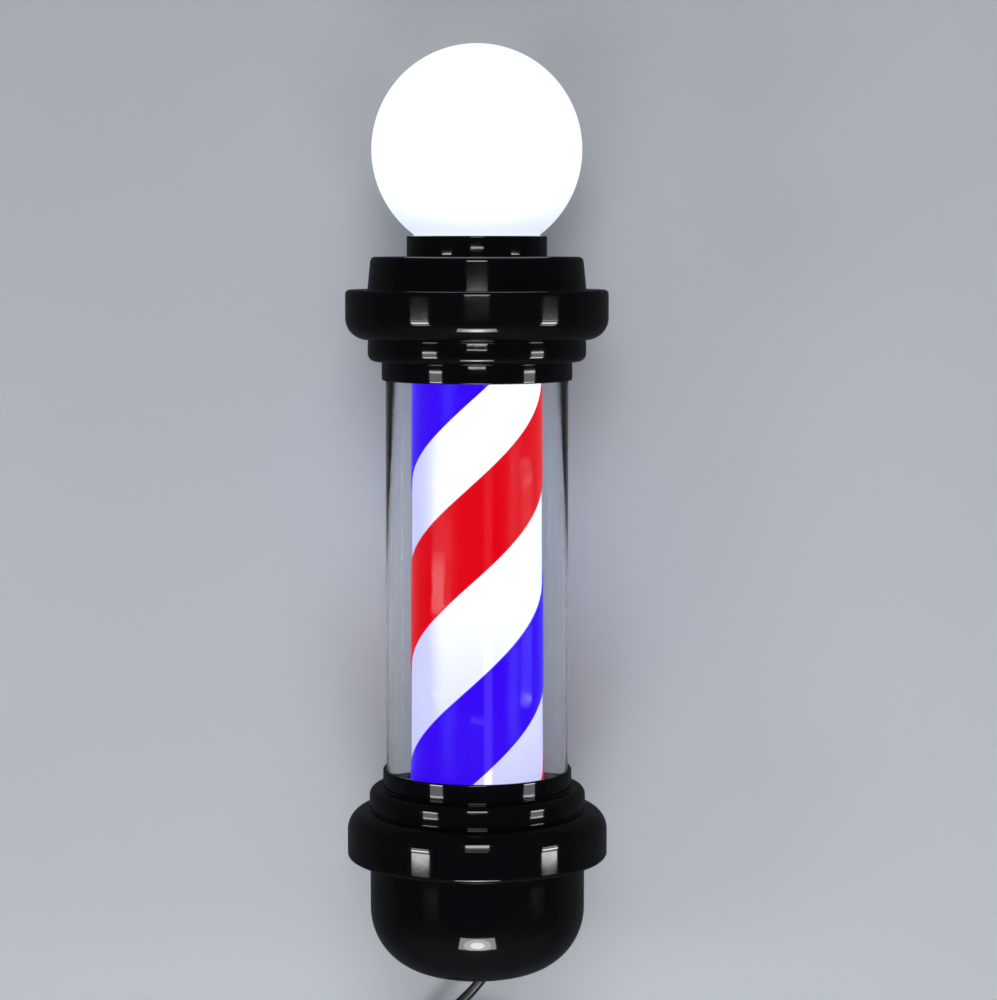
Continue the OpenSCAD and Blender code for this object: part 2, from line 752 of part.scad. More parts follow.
module hub()
    difference() {
        union() {
            translate([0, 0, hub_flange_t - hub_web_t]) cylinder(r = hub_rim_r - 1, h = hub_web_t);
            difference() {
                union() {
                    cylinder(r = sleeve_r, h = hub_flange_t);
                    translate([0, 0, -hub_rim_h]) cylinder(r = hub_rim_r, h = hub_rim_h + 1);
                }
                translate([0, 0, -hub_rim_h - 1]) cylinder(r = hub_rim_r - shell, h = hub_rim_h + 4);
            }
            translate([0, 0, -hub_boss_in]) cylinder(r = hub_boss_r, h = hub_boss_in + hub_boss_out);
            around([90, 210, 330], gear_screw_ring_r) cylinder(r = 4, h = hub_flange_t + gear_pad_t);
            for (a = [30:60:330]) rotate(a) translate([hub_boss_r - 1, -1, -hub_rim_h])
                cube([hub_rim_r - hub_boss_r - 1, 2, hub_rim_h]);
        }
        translate([0, 0, -hub_boss_in - 1])
            cylinder(r = bush_r + close_fit, h = hub_boss_in + hub_boss_out + 2);
        around([0:60:300], hub_hole_ring_r) translate([0, 0, -2]) cylinder(r = hub_hole_r, h = 6);
        around([90, 210, 330], gear_screw_ring_r) translate([0, 0, -3])
            cylinder(r = gear_screw_r + close_fit, h = 20);
    }

module hub_bush()
    difference() {
        union() {
            translate([0, 0, -hub_boss_in]) cylinder(r = bush_r, h = hub_boss_in + hub_boss_out + 0.5);
            translate([0, 0, hub_boss_out]) cylinder(r = bush_flange_r, h = bush_flange_t);
        }
        translate([0, 0, -hub_boss_in - 1])
            cylinder(r = pipe_r + close_fit, h = hub_boss_in + hub_boss_out + bush_flange_t + 2);
    }

module upper_hub() color([0.2, 0.2, 0.22]) upper_hub_place() hub();
module lower_hub() color([0.2, 0.2, 0.22]) lower_hub_place() hub();
module upper_bush() color([0.9, 0.88, 0.8]) upper_hub_place() hub_bush();
module lower_bush() color([0.9, 0.88, 0.8]) lower_hub_place() hub_bush();

// ---------- gears ----------

function involute_deg(a) = tan(a) * 180 / PI - a;

// Half the angle that a tooth spans at radius r.
function tooth_half(teeth, r) =
    let (
        pitch_r = gear_module * teeth / 2,
        base_r = pitch_r * cos(20),
        at_pitch = 90 / teeth - backlash / 4 / pitch_r * 180 / PI
    )
    at_pitch + involute_deg(20) - (r > base_r ? involute_deg(acos(base_r / r)) : 0);

function gear_outline(teeth) =
    let (
        root_r = gear_module * (teeth / 2 - 1.25),
        tip_r = gear_module * (teeth / 2 + 1),
        radii = [for (i = [0:4]) root_r + (tip_r - root_r) * i / 4]
    )
    [for (k = [0:teeth - 1]) let (mid = 360 * k / teeth) each concat(
        [for (r = radii) let (t = mid - tooth_half(teeth, r)) r * [cos(t), sin(t)]],
        [for (i = [4:-1:0]) let (r = radii[i], t = mid + tooth_half(teeth, r)) r * [cos(t), sin(t)]])];

module drive_gear() color([0.92, 0.9, 0.84]) lower_hub_place()
    difference() {
        translate([0, 0, gear_z]) linear_extrude(gear_w) polygon(gear_outline(gear_teeth));
        translate([0, 0, gear_z - 1]) cylinder(r = hub_boss_r + close_fit, h = gear_w + 2);
        translate([0, 0, gear_z + gear_w - 2]) difference() {
            cylinder(r = gear_module * (gear_teeth / 2 - 3), h = 3);
            translate([0, 0, -1]) cylinder(r = gear_screw_ring_r + 4, h = 5);
        }
        around([90, 210, 330], gear_screw_ring_r) translate([0, 0, gear_z - 1])
            cylinder(r = gear_screw_r + fit, h = gear_w + 2);
    }

module gear_screws() color(STEEL) lower_hub_place()
    around([90, 210, 330], gear_screw_ring_r) translate([0, 0, gear_z + gear_w])
        pan_screw(gear_screw_r, gear_w + 4.5);

module thrust_collar() color(STEEL) lower_hub_place()
    translate([0, 0, hub_boss_out + bush_flange_t + rest_gap]) difference() {
        cylinder(r = collar_r, h = collar_h);
        translate([0, 0, -1]) cylinder(r = pipe_r + close_fit, h = collar_h + 2);
        translate([0, 0, collar_h / 2]) rotate([-90, 0, 0]) cylinder(r = grub_r + close_fit, h = 20);
    }

module collar_screw() color(STEEL) lower_hub_place()
    translate([0, pipe_r + 0.1, hub_boss_out + bush_flange_t + rest_gap + collar_h / 2])
        rotate([-90, 0, 0]) difference() {
            cylinder(r = grub_r, h = 4.5);
            translate([0, 0, 3]) cylinder(r = 1, h = 3, $fn = 6);
        }

// ---------- motor and electrics under the lower deck ----------

module motor_screw_places()
    for (s = [-1, 1]) translate([motor_x, s * motor_ear_y, seat_z]) children();

module motor_body() color([0.75, 0.76, 0.78]) lower_end()
    difference() {
        union() {
            translate([0, 0, deck_top]) {
                translate([motor_x, 0, 0])
                    lathe([[0, 0, 0], [motor_r, 0, 0], [motor_r, motor_h, 1.5], [0, motor_h, 0]]);
                translate([motor_x, 0, 0]) rounded_plate([12, 2 * motor_ear_y + 12], 5.9, motor_ear_t);
            }
            translate([centre_distance, 0, deck_top - motor_boss_h])
                cylinder(r = motor_boss_r, h = motor_boss_h + 1);
        }
        translate([centre_distance, 0, deck_top - motor_boss_h - 1])
            cylinder(r = shaft_r + close_fit, h = motor_boss_h + 11);
        motor_screw_places() cylinder(r = motor_screw_r + close_fit, h = 20);
    }

module motor_screws() color(STEEL) lower_end()
    motor_screw_places() rotate([180, 0, 0]) pan_screw(motor_screw_r, motor_screw_l);

module motor_nuts() color(STEEL) lower_end()
    motor_screw_places() translate([0, 0, deck_t + motor_ear_t]) hex_nut(7, 3.2, motor_screw_r + close_fit);

module motor_shaft() color(STEEL) lower_end()
    translate([centre_distance, 0, pinion_z - 1]) cylinder(r = shaft_r, h = deck_top + 9.5 - pinion_z);

module motor_pinion() color([0.92, 0.9, 0.84]) lower_end()
    translate([centre_distance, 0, pinion_z]) difference() {
        rotate(180 / pinion_teeth) linear_extrude(pinion_w) polygon(gear_outline(pinion_teeth));
        translate([0, 0, -1]) cylinder(r = shaft_r + close_fit, h = pinion_w + 2);
    }

module driver_screw_places()
    for (s = [-1, 1]) translate([driver_x, s * driver_ear_y, deck_top]) children();

module block_screw_places()
    for (s = [-1, 1]) translate([s * block_screw_x, block_y, deck_top]) children();

module tray_screw_places() {
    driver_screw_places() children();
    block_screw_places() children();
}

module led_driver() color([0.93, 0.93, 0.95]) lower_end()
    difference() {
        union() {
            translate([driver_x, 0, deck_top])
                rounded_plate([driver_size.x, driver_size.y], 3, driver_size.z);
            translate([driver_x, 0, deck_top]) rounded_plate([12, 2 * driver_ear_y + 8], 3.9, driver_ear_t);
        }
        driver_screw_places() translate([0, 0, -1]) cylinder(r = tray_screw_r + close_fit, h = 10);
    }

module terminal_block() color([0.9, 0.9, 0.92]) lower_end()
    difference() {
        translate([0, block_y, deck_top]) rounded_plate([block_size.x, block_size.y], 1.5, block_size.z);
        for (i = [-1.5:1:1.5]) translate([i * 10, block_y, deck_top + 8]) rotate([90, 0, 0])
            cylinder(r = 2, h = block_size.y + 2, center = true);
        for (i = [-1.5:1:1.5], s = [-1, 1]) translate([i * 10, block_y + s * 5, deck_top + 8])
            cylinder(r = 1.6, h = block_size.z);
        block_screw_places() translate([0, 0, -1])
            cylinder(r = tray_screw_r + close_fit, h = block_size.z + 2);
    }

module tray_screws() color(STEEL) lower_end() {
    driver_screw_places() translate([0, 0, driver_ear_t]) pan_screw(tray_screw_r, tray_screw_l);
    block_screw_places() translate([0, 0, block_size.z])
        pan_screw(tray_screw_r, block_size.z + tray_screw_l - driver_ear_t);
}

// ---------- lights in the cylinder ----------

module led_spine() color(STEEL) pole()
    difference() {
        cube([spine_w, spine_w, spine_l], center = true);
        cylinder(r = pipe_r + close_fit, h = spine_l + 2, center = true);
    }

module led_strips() color([0.95, 0.95, 0.85]) pole()
    for (a = [0:90:270]) rotate(a) translate([spine_w / 2, 0, 0]) {
        translate([strip_t / 2, 0, 0]) cube([strip_t, strip_w, spine_l - 8], center = true);
        for (i = [0:chip_count - 1])
            translate([strip_t + chip_t / 2 - 0.05, 0, (i - (chip_count - 1) / 2) * chip_pitch])
                cube([chip_t + 0.1, chip_w, chip_w], center = true);
    }

// ---------- switches ----------

module switch_place(s) pole() translate([s * switch_x, pivot_y, -mouth_z - pad_z]) children();

module rocker_switch(s) switch_place(s) difference() {
    union() {
        translate([0, pad_y - pivot_y, 0]) rotate([-90, 0, 0])
            rounded_plate([bezel_l, bezel_h], 1.5, bezel_t);
        translate([-switch_body_l / 2, pad_y - pivot_y - switch_depth, -switch_body_h / 2])
            cube([switch_body_l, switch_depth + 0.5, switch_body_h]);
    }
    translate([-rocker_well_l / 2, 1 - rocker_well_d, -rocker_well_h / 2])
        cube([rocker_well_l, rocker_well_d + 2, rocker_well_h]);
    cylinder(r = pivot_r + close_fit, h = bezel_h + 2, center = true);
}

// Paddle with a valley along its middle, tipped to one side about its pivot pins.
module rocker(s) switch_place(s) rotate(-rocker_throw / 2) {
    rise = rocker_half * tan(rocker_throw / 2);
    translate([0, 0, -rocker_h / 2]) linear_extrude(rocker_h) polygon(outline([
        [-rocker_half, 1.2 + rise, 0.4], [0, 1.2, 0], [rocker_half, 1.2 + rise, 0.4],
        [rocker_half - 0.9, -4, 0.8], [-rocker_half + 0.9, -4, 0.8]]));
    cylinder(r = pivot_r, h = switch_body_h - 0.4, center = true);
}

module light_switch() color(BLACK) rocker_switch(-1);
module motor_switch() color(BLACK) rocker_switch(1);
module light_rocker() color([0.08, 0.08, 0.09]) rocker(-1);
module motor_rocker() color([0.08, 0.08, 0.09]) rocker(1);

// ---------- cord and what is on it ----------

module cord_gland() color([0.05, 0.05, 0.05]) lower_end() gland_place()
    lathe([
        [0, -9, 0], [gland_thread_r, -9, 0.5], [gland_thread_r, 1.5, 0], [8.5, 1.5, 0],
        [8.5, 4, 0.8], [cord_r + 2.6, 4, 0.5], [cord_r + 1, gland_l, 0.5], [0, gland_l, 0]]);

module gland_nut() color([0.05, 0.05, 0.05]) lower_end() gland_place()
    translate([0, 0, -10]) hex_nut(17, 4, gland_thread_r + close_fit);

// Direction of the cord at a path point. It starts square to the gland's mouth.
function cord_along(path, i) =
    i == 0 ? gland_along : unit(path[min(i + 1, len(path) - 1)] - path[i - 1]);

// Ring of points about a path point, square to the path.
function cord_ring(path, i) =
    let (t = cord_along(path, i), u = unit(cross(t, [1, 0, 0])), w = cross(t, u))
    [for (k = [0:cord_sides - 1]) let (a = 360 * k / cord_sides)
        path[i] + cord_r * (cos(a) * u + sin(a) * w)];

module cord_tube(path) {
    rings = len(path);
    n = cord_sides;
    polyhedron(
        [for (i = [0:rings - 1]) each cord_ring(path, i)],
        concat(
            [[for (k = [0:n - 1]) k]],
            [for (i = [0:rings - 2], k = [0:n - 1])
                [i * n + k, (i + 1) * n + k, (i + 1) * n + (k + 1) % n, i * n + (k + 1) % n]],
            [[for (k = [n - 1:-1:0]) (rings - 1) * n + k]]));
}

module power_cord() color([0.05, 0.05, 0.05]) cord_tube(cord_route);

module coil_frame() translate(coil_at) rotate([90, 0, 0]) children();

module cord_coil() color([0.05, 0.05, 0.05]) coil_frame() {
    lathe([
        [coil_out_r - coil_w, -coil_w / 2, coil_edge], [coil_out_r, -coil_w / 2, coil_edge],
        [coil_out_r, coil_w / 2, coil_edge], [coil_out_r - coil_w, coil_w / 2, coil_edge]]);
    rotate(coil_entry_angle) translate([coil_turn_r, 0, cord_d]) rotate([90, 0, 0])
        cylinder(r = cord_r, h = coil_lead);
    translate([-coil_turn_r, 0, -cord_d]) rotate([90, 0, 0]) cylinder(r = cord_r, h = coil_lead);
}

module cord_tie() color([0.1, 0.1, 0.1]) coil_frame() rotate(-45)
    translate([coil_out_r - coil_w / 2, 0, 0]) difference() {
        cube([coil_w + 2 * tie_t + 0.6, tie_w, coil_w + 2 * tie_t + 0.6], center = true);
        cube([coil_w + 0.6, tie_w + 2, coil_w + 0.6], center = true);
    }

module plug() color([0.05, 0.05, 0.05]) translate(plug_at) rotate([180, 0, 0]) {
    lathe([[0, 0, 0], [cord_r + 0.7, 0, 0.4], [5.8, plug_tail_l, 0], [0, plug_tail_l, 0]]);
    translate([0, plug_t / 2, 0]) rotate([90, 0, 0]) linear_extrude(plug_t) polygon(outline([
        [-7, plug_tail_l - 1, 2], [7, plug_tail_l - 1, 2], [plug_w / 2, plug_tail_l + 20, 6],
        [plug_w / 2 - 2, plug_tail_l + plug_l, 2], [-plug_w / 2 + 2, plug_tail_l + plug_l, 2],
        [-plug_w / 2, plug_tail_l + 20, 6]]));
}

module plug_pins() color(STEEL) translate(plug_at) rotate([180, 0, 0])
    for (s = [-1, 1]) translate([s * pin_pitch / 2, 0, plug_tail_l + plug_l])
        lathe([[0, 0, 0], [pin_r, 0, 0], [pin_r, pin_l, 1.2], [0, pin_l, 0]]);

// ---------- wall brackets ----------

// Pressed plate with two ears that hold a casting's rear boss from its sides.
module bracket() {
    difference() {
        translate([0, standoff, cap_mid]) rotate([90, 0, 0])
            rounded_plate([plate_w, plate_h], plate_edge, bracket_t);
        for (s = [-1, 1]) translate([s * wall_pitch_x / 2, standoff + 1, cap_mid]) rotate([90, 0, 0])
            cylinder(r = wall_hole_r, h = bracket_t + 2);
    }
    for (s = [-1, 1]) difference() {
        translate([s * (ear_x + ear_t / 2) - ear_t / 2, 0, cap_mid]) rotate([0, 90, 0])
            linear_extrude(ear_t) polygon(outline([
                [-ear_h / 2, standoff - bracket_t / 2, 0], [ear_h / 2, standoff - bracket_t / 2, 0],
                [ear_h / 2, ear_front, ear_edge], [-ear_h / 2, ear_front, ear_edge]]));
        translate([s * (ear_x - 1), side_screw_y, cap_mid]) rotate([0, s * 90, 0])
            cylinder(r = side_screw_r + fit, h = ear_t + 2);
    }
}

module side_screws() for (s = [-1, 1])
    translate([s * (ear_x + ear_t), side_screw_y, cap_mid]) rotate([0, s * 90, 0])
        pan_screw(side_screw_r, 12);

module upper_bracket() color(STEEL) upper_end() bracket();
module lower_bracket() color(STEEL) lower_end() bracket();
module bracket_screws() color(STEEL) {
    upper_end() side_screws();
    lower_end() side_screws();
}

globe();
globe_gasket();
globe_gallery();
gallery_screws();
bulb_diffuser();
bulb_base();
lampholder();
lampholder_screws();
lid();
lid_screws();
upper_housing();
upper_deck();
upper_seal();
clear_tube();
lower_seal();
lower_housing();
lower_deck();
deck_screws();
dome();
dome_screws();
centre_pipe();
pipe_nuts();
led_spine();
led_strips();
thrust_collar();
collar_screw();
stripe_sleeve();
red_stripe();
blue_stripe();
upper_hub();
lower_hub();
upper_bush();
lower_bush();
drive_gear();
gear_screws();
motor_body();
motor_screws();
motor_nuts();
motor_shaft();
motor_pinion();
led_driver();
terminal_block();
tray_screws();
light_switch();
motor_switch();
light_rocker();
motor_rocker();
cord_gland();
gland_nut();
power_cord();
cord_coil();
cord_tie();
plug();
plug_pins();
upper_bracket();
lower_bracket();
bracket_screws();
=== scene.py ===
"""Looks of a wall-hung barber pole light.

A lit opal globe stands on a stepped black cap. A clear tube below it holds a turning
cylinder with red and blue stripes, and ends in the same cap turned over with a dome.
Lengths are in metres. +Z is up, the wall is the plane y = 0, and the front faces -Y.
"""
import math

import bmesh
import bpy
from mathutils import Matrix, Vector


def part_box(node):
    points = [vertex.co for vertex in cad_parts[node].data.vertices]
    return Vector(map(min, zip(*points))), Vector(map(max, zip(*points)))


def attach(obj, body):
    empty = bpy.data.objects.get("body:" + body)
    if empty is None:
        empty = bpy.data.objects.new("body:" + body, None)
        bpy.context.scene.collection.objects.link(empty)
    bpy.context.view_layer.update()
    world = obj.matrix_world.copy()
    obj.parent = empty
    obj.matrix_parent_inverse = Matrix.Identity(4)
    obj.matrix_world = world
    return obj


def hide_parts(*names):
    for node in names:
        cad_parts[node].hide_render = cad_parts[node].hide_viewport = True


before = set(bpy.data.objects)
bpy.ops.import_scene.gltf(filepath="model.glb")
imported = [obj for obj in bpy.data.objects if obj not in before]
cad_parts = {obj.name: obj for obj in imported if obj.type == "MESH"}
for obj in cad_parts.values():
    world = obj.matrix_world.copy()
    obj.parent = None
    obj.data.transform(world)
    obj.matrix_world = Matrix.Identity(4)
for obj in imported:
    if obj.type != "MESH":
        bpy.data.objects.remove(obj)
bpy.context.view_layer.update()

MM = 0.001

# ---------- sizes shared with the construction ----------

sleeve_low, sleeve_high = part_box("stripe_sleeve")
cap_low, cap_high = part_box("upper_housing")
tube_low, tube_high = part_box("clear_tube")
AXIS_Y = (sleeve_low[1] + sleeve_high[1]) / 2
MOUTH = cap_low[2] / MM
SLEEVE_END = sleeve_high[2] / MM
SLEEVE_R = (sleeve_high[0] - sleeve_low[0]) / 2 / MM
TUBE_R = (tube_high[0] - tube_low[0]) / 2 / MM
TUBE_END = tube_high[2] / MM

# Sizes in millimetres. Heights on a cap count outwards from its mouth, and those of the
# stripes from the middle of the sleeve.
TUBE_WALL, TUBE_PLAY = 3, 0.25
BORE_R = TUBE_R + TUBE_PLAY
STEP3_R, STEP3_H = 73, 14.5
STEP2_R, STEP2_Z, STEP2_BELLY_Z = 83.5, 31, 24
RING_R, RING_IN_R, CAP_H = 100.5, 96.5, 69
RING_ROUND, RING_EDGE, RING_IN_ROUND = 16.5, 3.5, 13
SIDE_DIP, SIDE_SWELL = 0.25, 0.1
BACK_BOSS_W, BACK_BOSS_H, BACK_BOSS_END = 40, 30, 119
POCKET_R, POCKET_Z, SEAT_Z = 80.5, 17.5, 35
BRIM_R, BRIM_Z = 96.2, 66
DRUM_R, DRUM_TOP_R, DRUM_TOP = 83.5, 81, 94
GALLERY_R, GALLERY_TOP, GALLERY_FLOOR = 53.5, 109.6, 96.5
GLOBE_R, GLOBE_WALL, GLOBE_Z, NECK_R, NECK_END = 80, 2.5, 174.6, 48, 98
DOME_R, DOME_WALL, KNUCKLE_R, CROWN_R, DOME_END = 83, 3, 50, 160, 164
PAD_W, PAD_H, PAD_ROUND, PAD_DROP, PAD_PROUD = 54, 24, 4, 18, 1.5
SLEEVE_WALL, FILM_LIFT, FILM_R = 1.5, 0.03, 50.85
STRIPE_PITCH, RED_LOW, RED_RISE, WHITE_RISE, BLUE_RISE = 288, 3, 73, 63, 75
ROCKER_X, ROCKER_Y, ROCKER_Z, ROCKER_TILT = 13, -39.5, -237, 10

POLE = Matrix.Translation((0, AXIS_Y, 0))
UPPER = POLE
LOWER = POLE @ Matrix.Rotation(math.pi, 4, "Y")


# ---------- camera ----------

CAMERA_PLACE = (0, -2.19, 0.2494)
CAMERA_LENS, SENSOR_WIDTH = 97.5, 36
CAMERA_DIP, CAMERA_TURN = math.radians(5.3), math.radians(-0.456)


def add_camera():
    """Long lens in front of the pole, a little above its middle and dipped towards it."""
    camera = bpy.data.cameras.new("view")
    camera.sensor_fit = "HORIZONTAL"
    camera.sensor_width = SENSOR_WIDTH
    camera.lens = CAMERA_LENS
    camera.clip_start = 0.05
    holder = bpy.data.objects.new("view", camera)
    holder.location = CAMERA_PLACE
    holder.rotation_euler = (math.pi / 2 - CAMERA_DIP, 0, CAMERA_TURN)
    bpy.context.scene.collection.objects.link(holder)
    bpy.context.scene.camera = holder


add_camera()


# ---------- meshes ----------

def link(name, mesh):
    """New object of a mesh, put in the scene."""
    piece = bpy.data.objects.new(name, mesh)
    bpy.context.scene.collection.objects.link(piece)
    return piece


def fit(piece, body, material, replaces=()):
    """Gives a finished piece its material and its body, and hides the nodes that it stands for."""
    piece.data.materials.clear()
    piece.data.materials.append(material)
    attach(piece, body)
    if replaces:
        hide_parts(*replaces)
    return piece


def smoothed(mesh, sharp=35):
    """Shades a mesh smooth, apart from edges past the sharp angle in degrees."""
    mesh.polygons.foreach_set("use_smooth", [True] * len(mesh.polygons))
    mesh.set_sharp_from_angle(angle=math.radians(sharp))
    return mesh


def mesh_of(name, points, faces, sharp=35):
    """Mesh of points in metres and faces given by their point numbers."""
    mesh = bpy.data.meshes.new(name)
    mesh.from_pydata([Vector(p) for p in points], [], faces)
    mesh.validate()
    return smoothed(mesh, sharp)


def arc(centre, radius, start, end, steps=24):
    """Points of an arc in the (radius, height) plane, with angles in degrees."""
    turns = [math.radians(start + (end - start) * i / steps) for i in range(steps + 1)]
    return [(centre[0] + radius * math.cos(t), centre[1] + radius * math.sin(t)) for t in turns]


def rounded(corners, step=7.5):
    """Closed outline of (x, y, fillet radius) corners with their fillets drawn out."""
    outline = []
    for i, (x, y, radius) in enumerate(corners):
        here = Vector((x, y))
        if not radius:
            outline.append((x, y))
            continue
        back = (Vector(corners[i - 1][:2]) - here).normalized()
        ahead = (Vector(corners[(i + 1) % len(corners)][:2]) - here).normalized()
        half = math.acos(max(-1, min(1, back @ ahead))) / 2
        centre = here + (back + ahead).normalized() * radius / math.sin(half)
        start = here + back * radius / math.tan(half) - centre
        end = here + ahead * radius / math.tan(half) - centre
        turn = math.atan2(start.x * end.y - start.y * end.x, start @ end)
        steps = max(2, math.ceil(abs(math.degrees(turn)) / step))
        for k in range(steps + 1):
            t = turn * k / steps
            outline.append((centre.x + start.x * math.cos(t) - start.y * math.sin(t),
                            centre.y + start.x * math.sin(t) + start.y * math.cos(t)))
    return outline


def turned(name, outline, place, segments=192, sharp=35):
    """Closed turned mesh of a counter-clockwise (radius, height) outline in millimetres."""
    points, rings, faces = [], [], []
    for radius, height in outline:
        if radius < 1e-6:
            rings.append([len(points)] * segments)
            points.append((0, 0, height))
            continue
        rings.append([len(points) + j for j in range(segments)])
        for j in range(segments):
            t = 2 * math.pi * j / segments
            points.append((radius * math.cos(t), radius * math.sin(t), height))
    for i, low in enumerate(rings):
        high = rings[(i + 1) % len(rings)]
        for j in range(segments):
            k = (j + 1) % segments
            face = list(dict.fromkeys((low[j], low[k], high[k], high[j])))
            if len(face) > 2:
                faces.append(face)
    return mesh_of(name, [place @ (Vector(p) * MM) for p in points], faces, sharp)


def slab(name, outline, low, high, place, bevel=0.0):
    """Outline drawn out from low to high along Z, in millimetres, with bevelled rims."""
    work = bmesh.new()
    base = [work.verts.new((x, y, low)) for x, y in outline]
    top = [work.verts.new((x, y, high)) for x, y in outline]
    work.faces.new(base[::-1])
    work.faces.new(top)
    for i in range(len(outline)):
        k = (i + 1) % len(outline)
        work.faces.new((base[i], base[k], top[k], top[i]))
    if bevel:
        rims = [e for e in work.edges if abs(e.verts[0].co.z - e.verts[1].co.z) < 1e-6]
        bmesh.ops.bevel(work, geom=rims, offset=bevel, segments=4, profile=0.5, affect="EDGES")
    work.transform(place @ Matrix.Scale(MM, 4))
    mesh = bpy.data.meshes.new(name)
    work.to_mesh(mesh)
    work.free()
    return smoothed(mesh)


def joined(name, meshes):
    """One mesh of several closed shells."""
    work = bmesh.new()
    for mesh in meshes:
        work.from_mesh(mesh)
    whole = bpy.data.meshes.new(name)
    work.to_mesh(whole)
    work.free()
    return smoothed(whole)


def loft_faces(rows, sides):
    """Faces of a closed loft: its sides row by row, and then its two ends."""
    faces = []
    for i in range(rows - 1):
        for k in range(sides):
            n = (k + 1) % sides
            faces.append((i * sides + k, i * sides + n, (i + 1) * sides + n, (i + 1) * sides + k))
    last = (rows - 1) * sides
    return faces + [tuple(range(sides))[::-1], tuple(range(last, last + sides))]


def swept(name, path, radius, sides=14):
    """Closed round tube along a path, with U for each 0.1 m of its length and V round it."""
    points = []
    path = [Vector(p) for p in path]
    across = (path[1] - path[0]).orthogonal().normalized()
    for i, at in enumerate(path):
        along = (path[min(i + 1, len(path) - 1)] - path[max(i - 1, 0)]).normalized()
        across = (across - along * across.dot(along)).normalized()
        side = along.cross(across)
        for k in range(sides):
            t = 2 * math.pi * k / sides
            points.append(at + radius * (math.cos(t) * across + math.sin(t) * side))
    mesh = mesh_of(name, points, loft_faces(len(path), sides), 60)
    lengths = [0.0]
    for a, b in zip(path, path[1:]):
        lengths.append(lengths[-1] + (b - a).length)
    layer = mesh.uv_layers.new(name="run")
    for place, polygon in enumerate(mesh.polygons[:-2]):
        i, k = divmod(place, sides)
        corners = ((i, k), (i, k + 1), (i + 1, k + 1), (i + 1, k))
        for loop, (row, column) in zip(polygon.loop_indices, corners):
            layer.data[loop].uv = (10 * lengths[row], column / sides)
    return mesh


# ---------- shader helpers ----------

def add(tree, kind, inputs=None, **settings):
    """Adds a node; an input is a plain value or the socket that feeds it."""
    node = tree.nodes.new(kind)
    for key, value in settings.items():
        setattr(node, key, value)
    for key, value in (inputs or {}).items():
        if isinstance(value, bpy.types.NodeSocket):
            tree.links.new(value, node.inputs[key])
        else:
            node.inputs[key].default_value = value
    return node


def math_node(tree, operation, *values):
    """Result of a Math node."""
    return add(tree, "ShaderNodeMath", dict(enumerate(values)), operation=operation).outputs[0]


def spread(tree, value, low, high, to_low, to_high, way="LINEAR"):
    """Maps a value from one range to another, held at the ends."""
    return add(tree, "ShaderNodeMapRange", {
        "Value": value, "From Min": low, "From Max": high,
        "To Min": to_low, "To Max": to_high}, interpolation_type=way).outputs["Result"]


def object_place(tree):
    """Place on the object, in metres."""
    return add(tree, "ShaderNodeTexCoord").outputs["Object"]


def blended(tree, factor, first, second):
    """Colour between two colours or colour sockets."""
    node = add(tree, "ShaderNodeMix", {0: factor, 6: first, 7: second}, data_type="RGBA")
    return node.outputs[2]


def noise(tree, place, scale, detail=4.0, rough=0.55):
    """Cloudy value between 0 and 1."""
    return add(tree, "ShaderNodeTexNoise", {
        "Vector": place, "Scale": scale, "Detail": detail, "Roughness": rough}).outputs["Fac"]


def effect(name, inputs, outputs):
    """Empty shader node group with named sockets; gives the tree and its two end nodes."""
    tree = bpy.data.node_groups.new(name, "ShaderNodeTree")
    for label, value in inputs.items():
        socket = tree.interface.new_socket(label, in_out="INPUT", socket_type="NodeSocketFloat")
        socket.default_value = value
    for label in outputs:
        tree.interface.new_socket(label, in_out="OUTPUT", socket_type="NodeSocketFloat")
    return tree, tree.nodes.new("NodeGroupInput"), tree.nodes.new("NodeGroupOutput")


def moulded_grain():
    """Fine skin of a moulding: a height for bump and the roughness that goes with it."""
    tree, given, result = effect(
        "Moulded grain", {"Scale": 400.0, "Roughness": 0.3, "Smudge": 0.1}, ("Height", "Roughness"))
    place = object_place(tree)
    skin = noise(tree, place, given.outputs["Scale"], 5.0)
    blotch = noise(tree, place, 14.0, 3.0)
    streak = add(tree, "ShaderNodeMapping", {"Vector": place, "Scale": (60, 60, 9)}).outputs[0]
    wiped = noise(tree, streak, 1.0, 3.0)
    uneven = math_node(tree, "SUBTRACT", math_node(tree, "ADD", blotch, wiped), 1.0)
    change = math_node(tree, "MULTIPLY", uneven, given.outputs["Smudge"])
    tree.links.new(skin, result.inputs["Height"])
    tree.links.new(math_node(tree, "ADD", given.outputs["Roughness"], change),
                   result.inputs["Roughness"])
    return tree


def settled_dust():
    """Share of dust: most on faces that look up, broken by soft patches and specks."""
    tree, given, result = effect("Settled dust", {"Amount": 0.2}, ("Share",))
    place = object_place(tree)
    facing = add(tree, "ShaderNodeSeparateXYZ", {
        0: add(tree, "ShaderNodeNewGeometry").outputs["Normal"]}).outputs["Z"]
    upward = spread(tree, facing, 0.2, 1.0, 0.0, 1.0)
    patches = spread(tree, noise(tree, place, 30.0), 0.35, 0.7, 0.3, 1.0)
    specks = spread(tree, noise(tree, place, 900.0, 1.0), 0.66, 0.72, 0.0, 0.6)
    film = math_node(tree, "MULTIPLY", math_node(tree, "ADD", patches, specks), upward)
    tree.links.new(math_node(tree, "MULTIPLY", film, given.outputs["Amount"]),
                   result.inputs["Share"])
    return tree


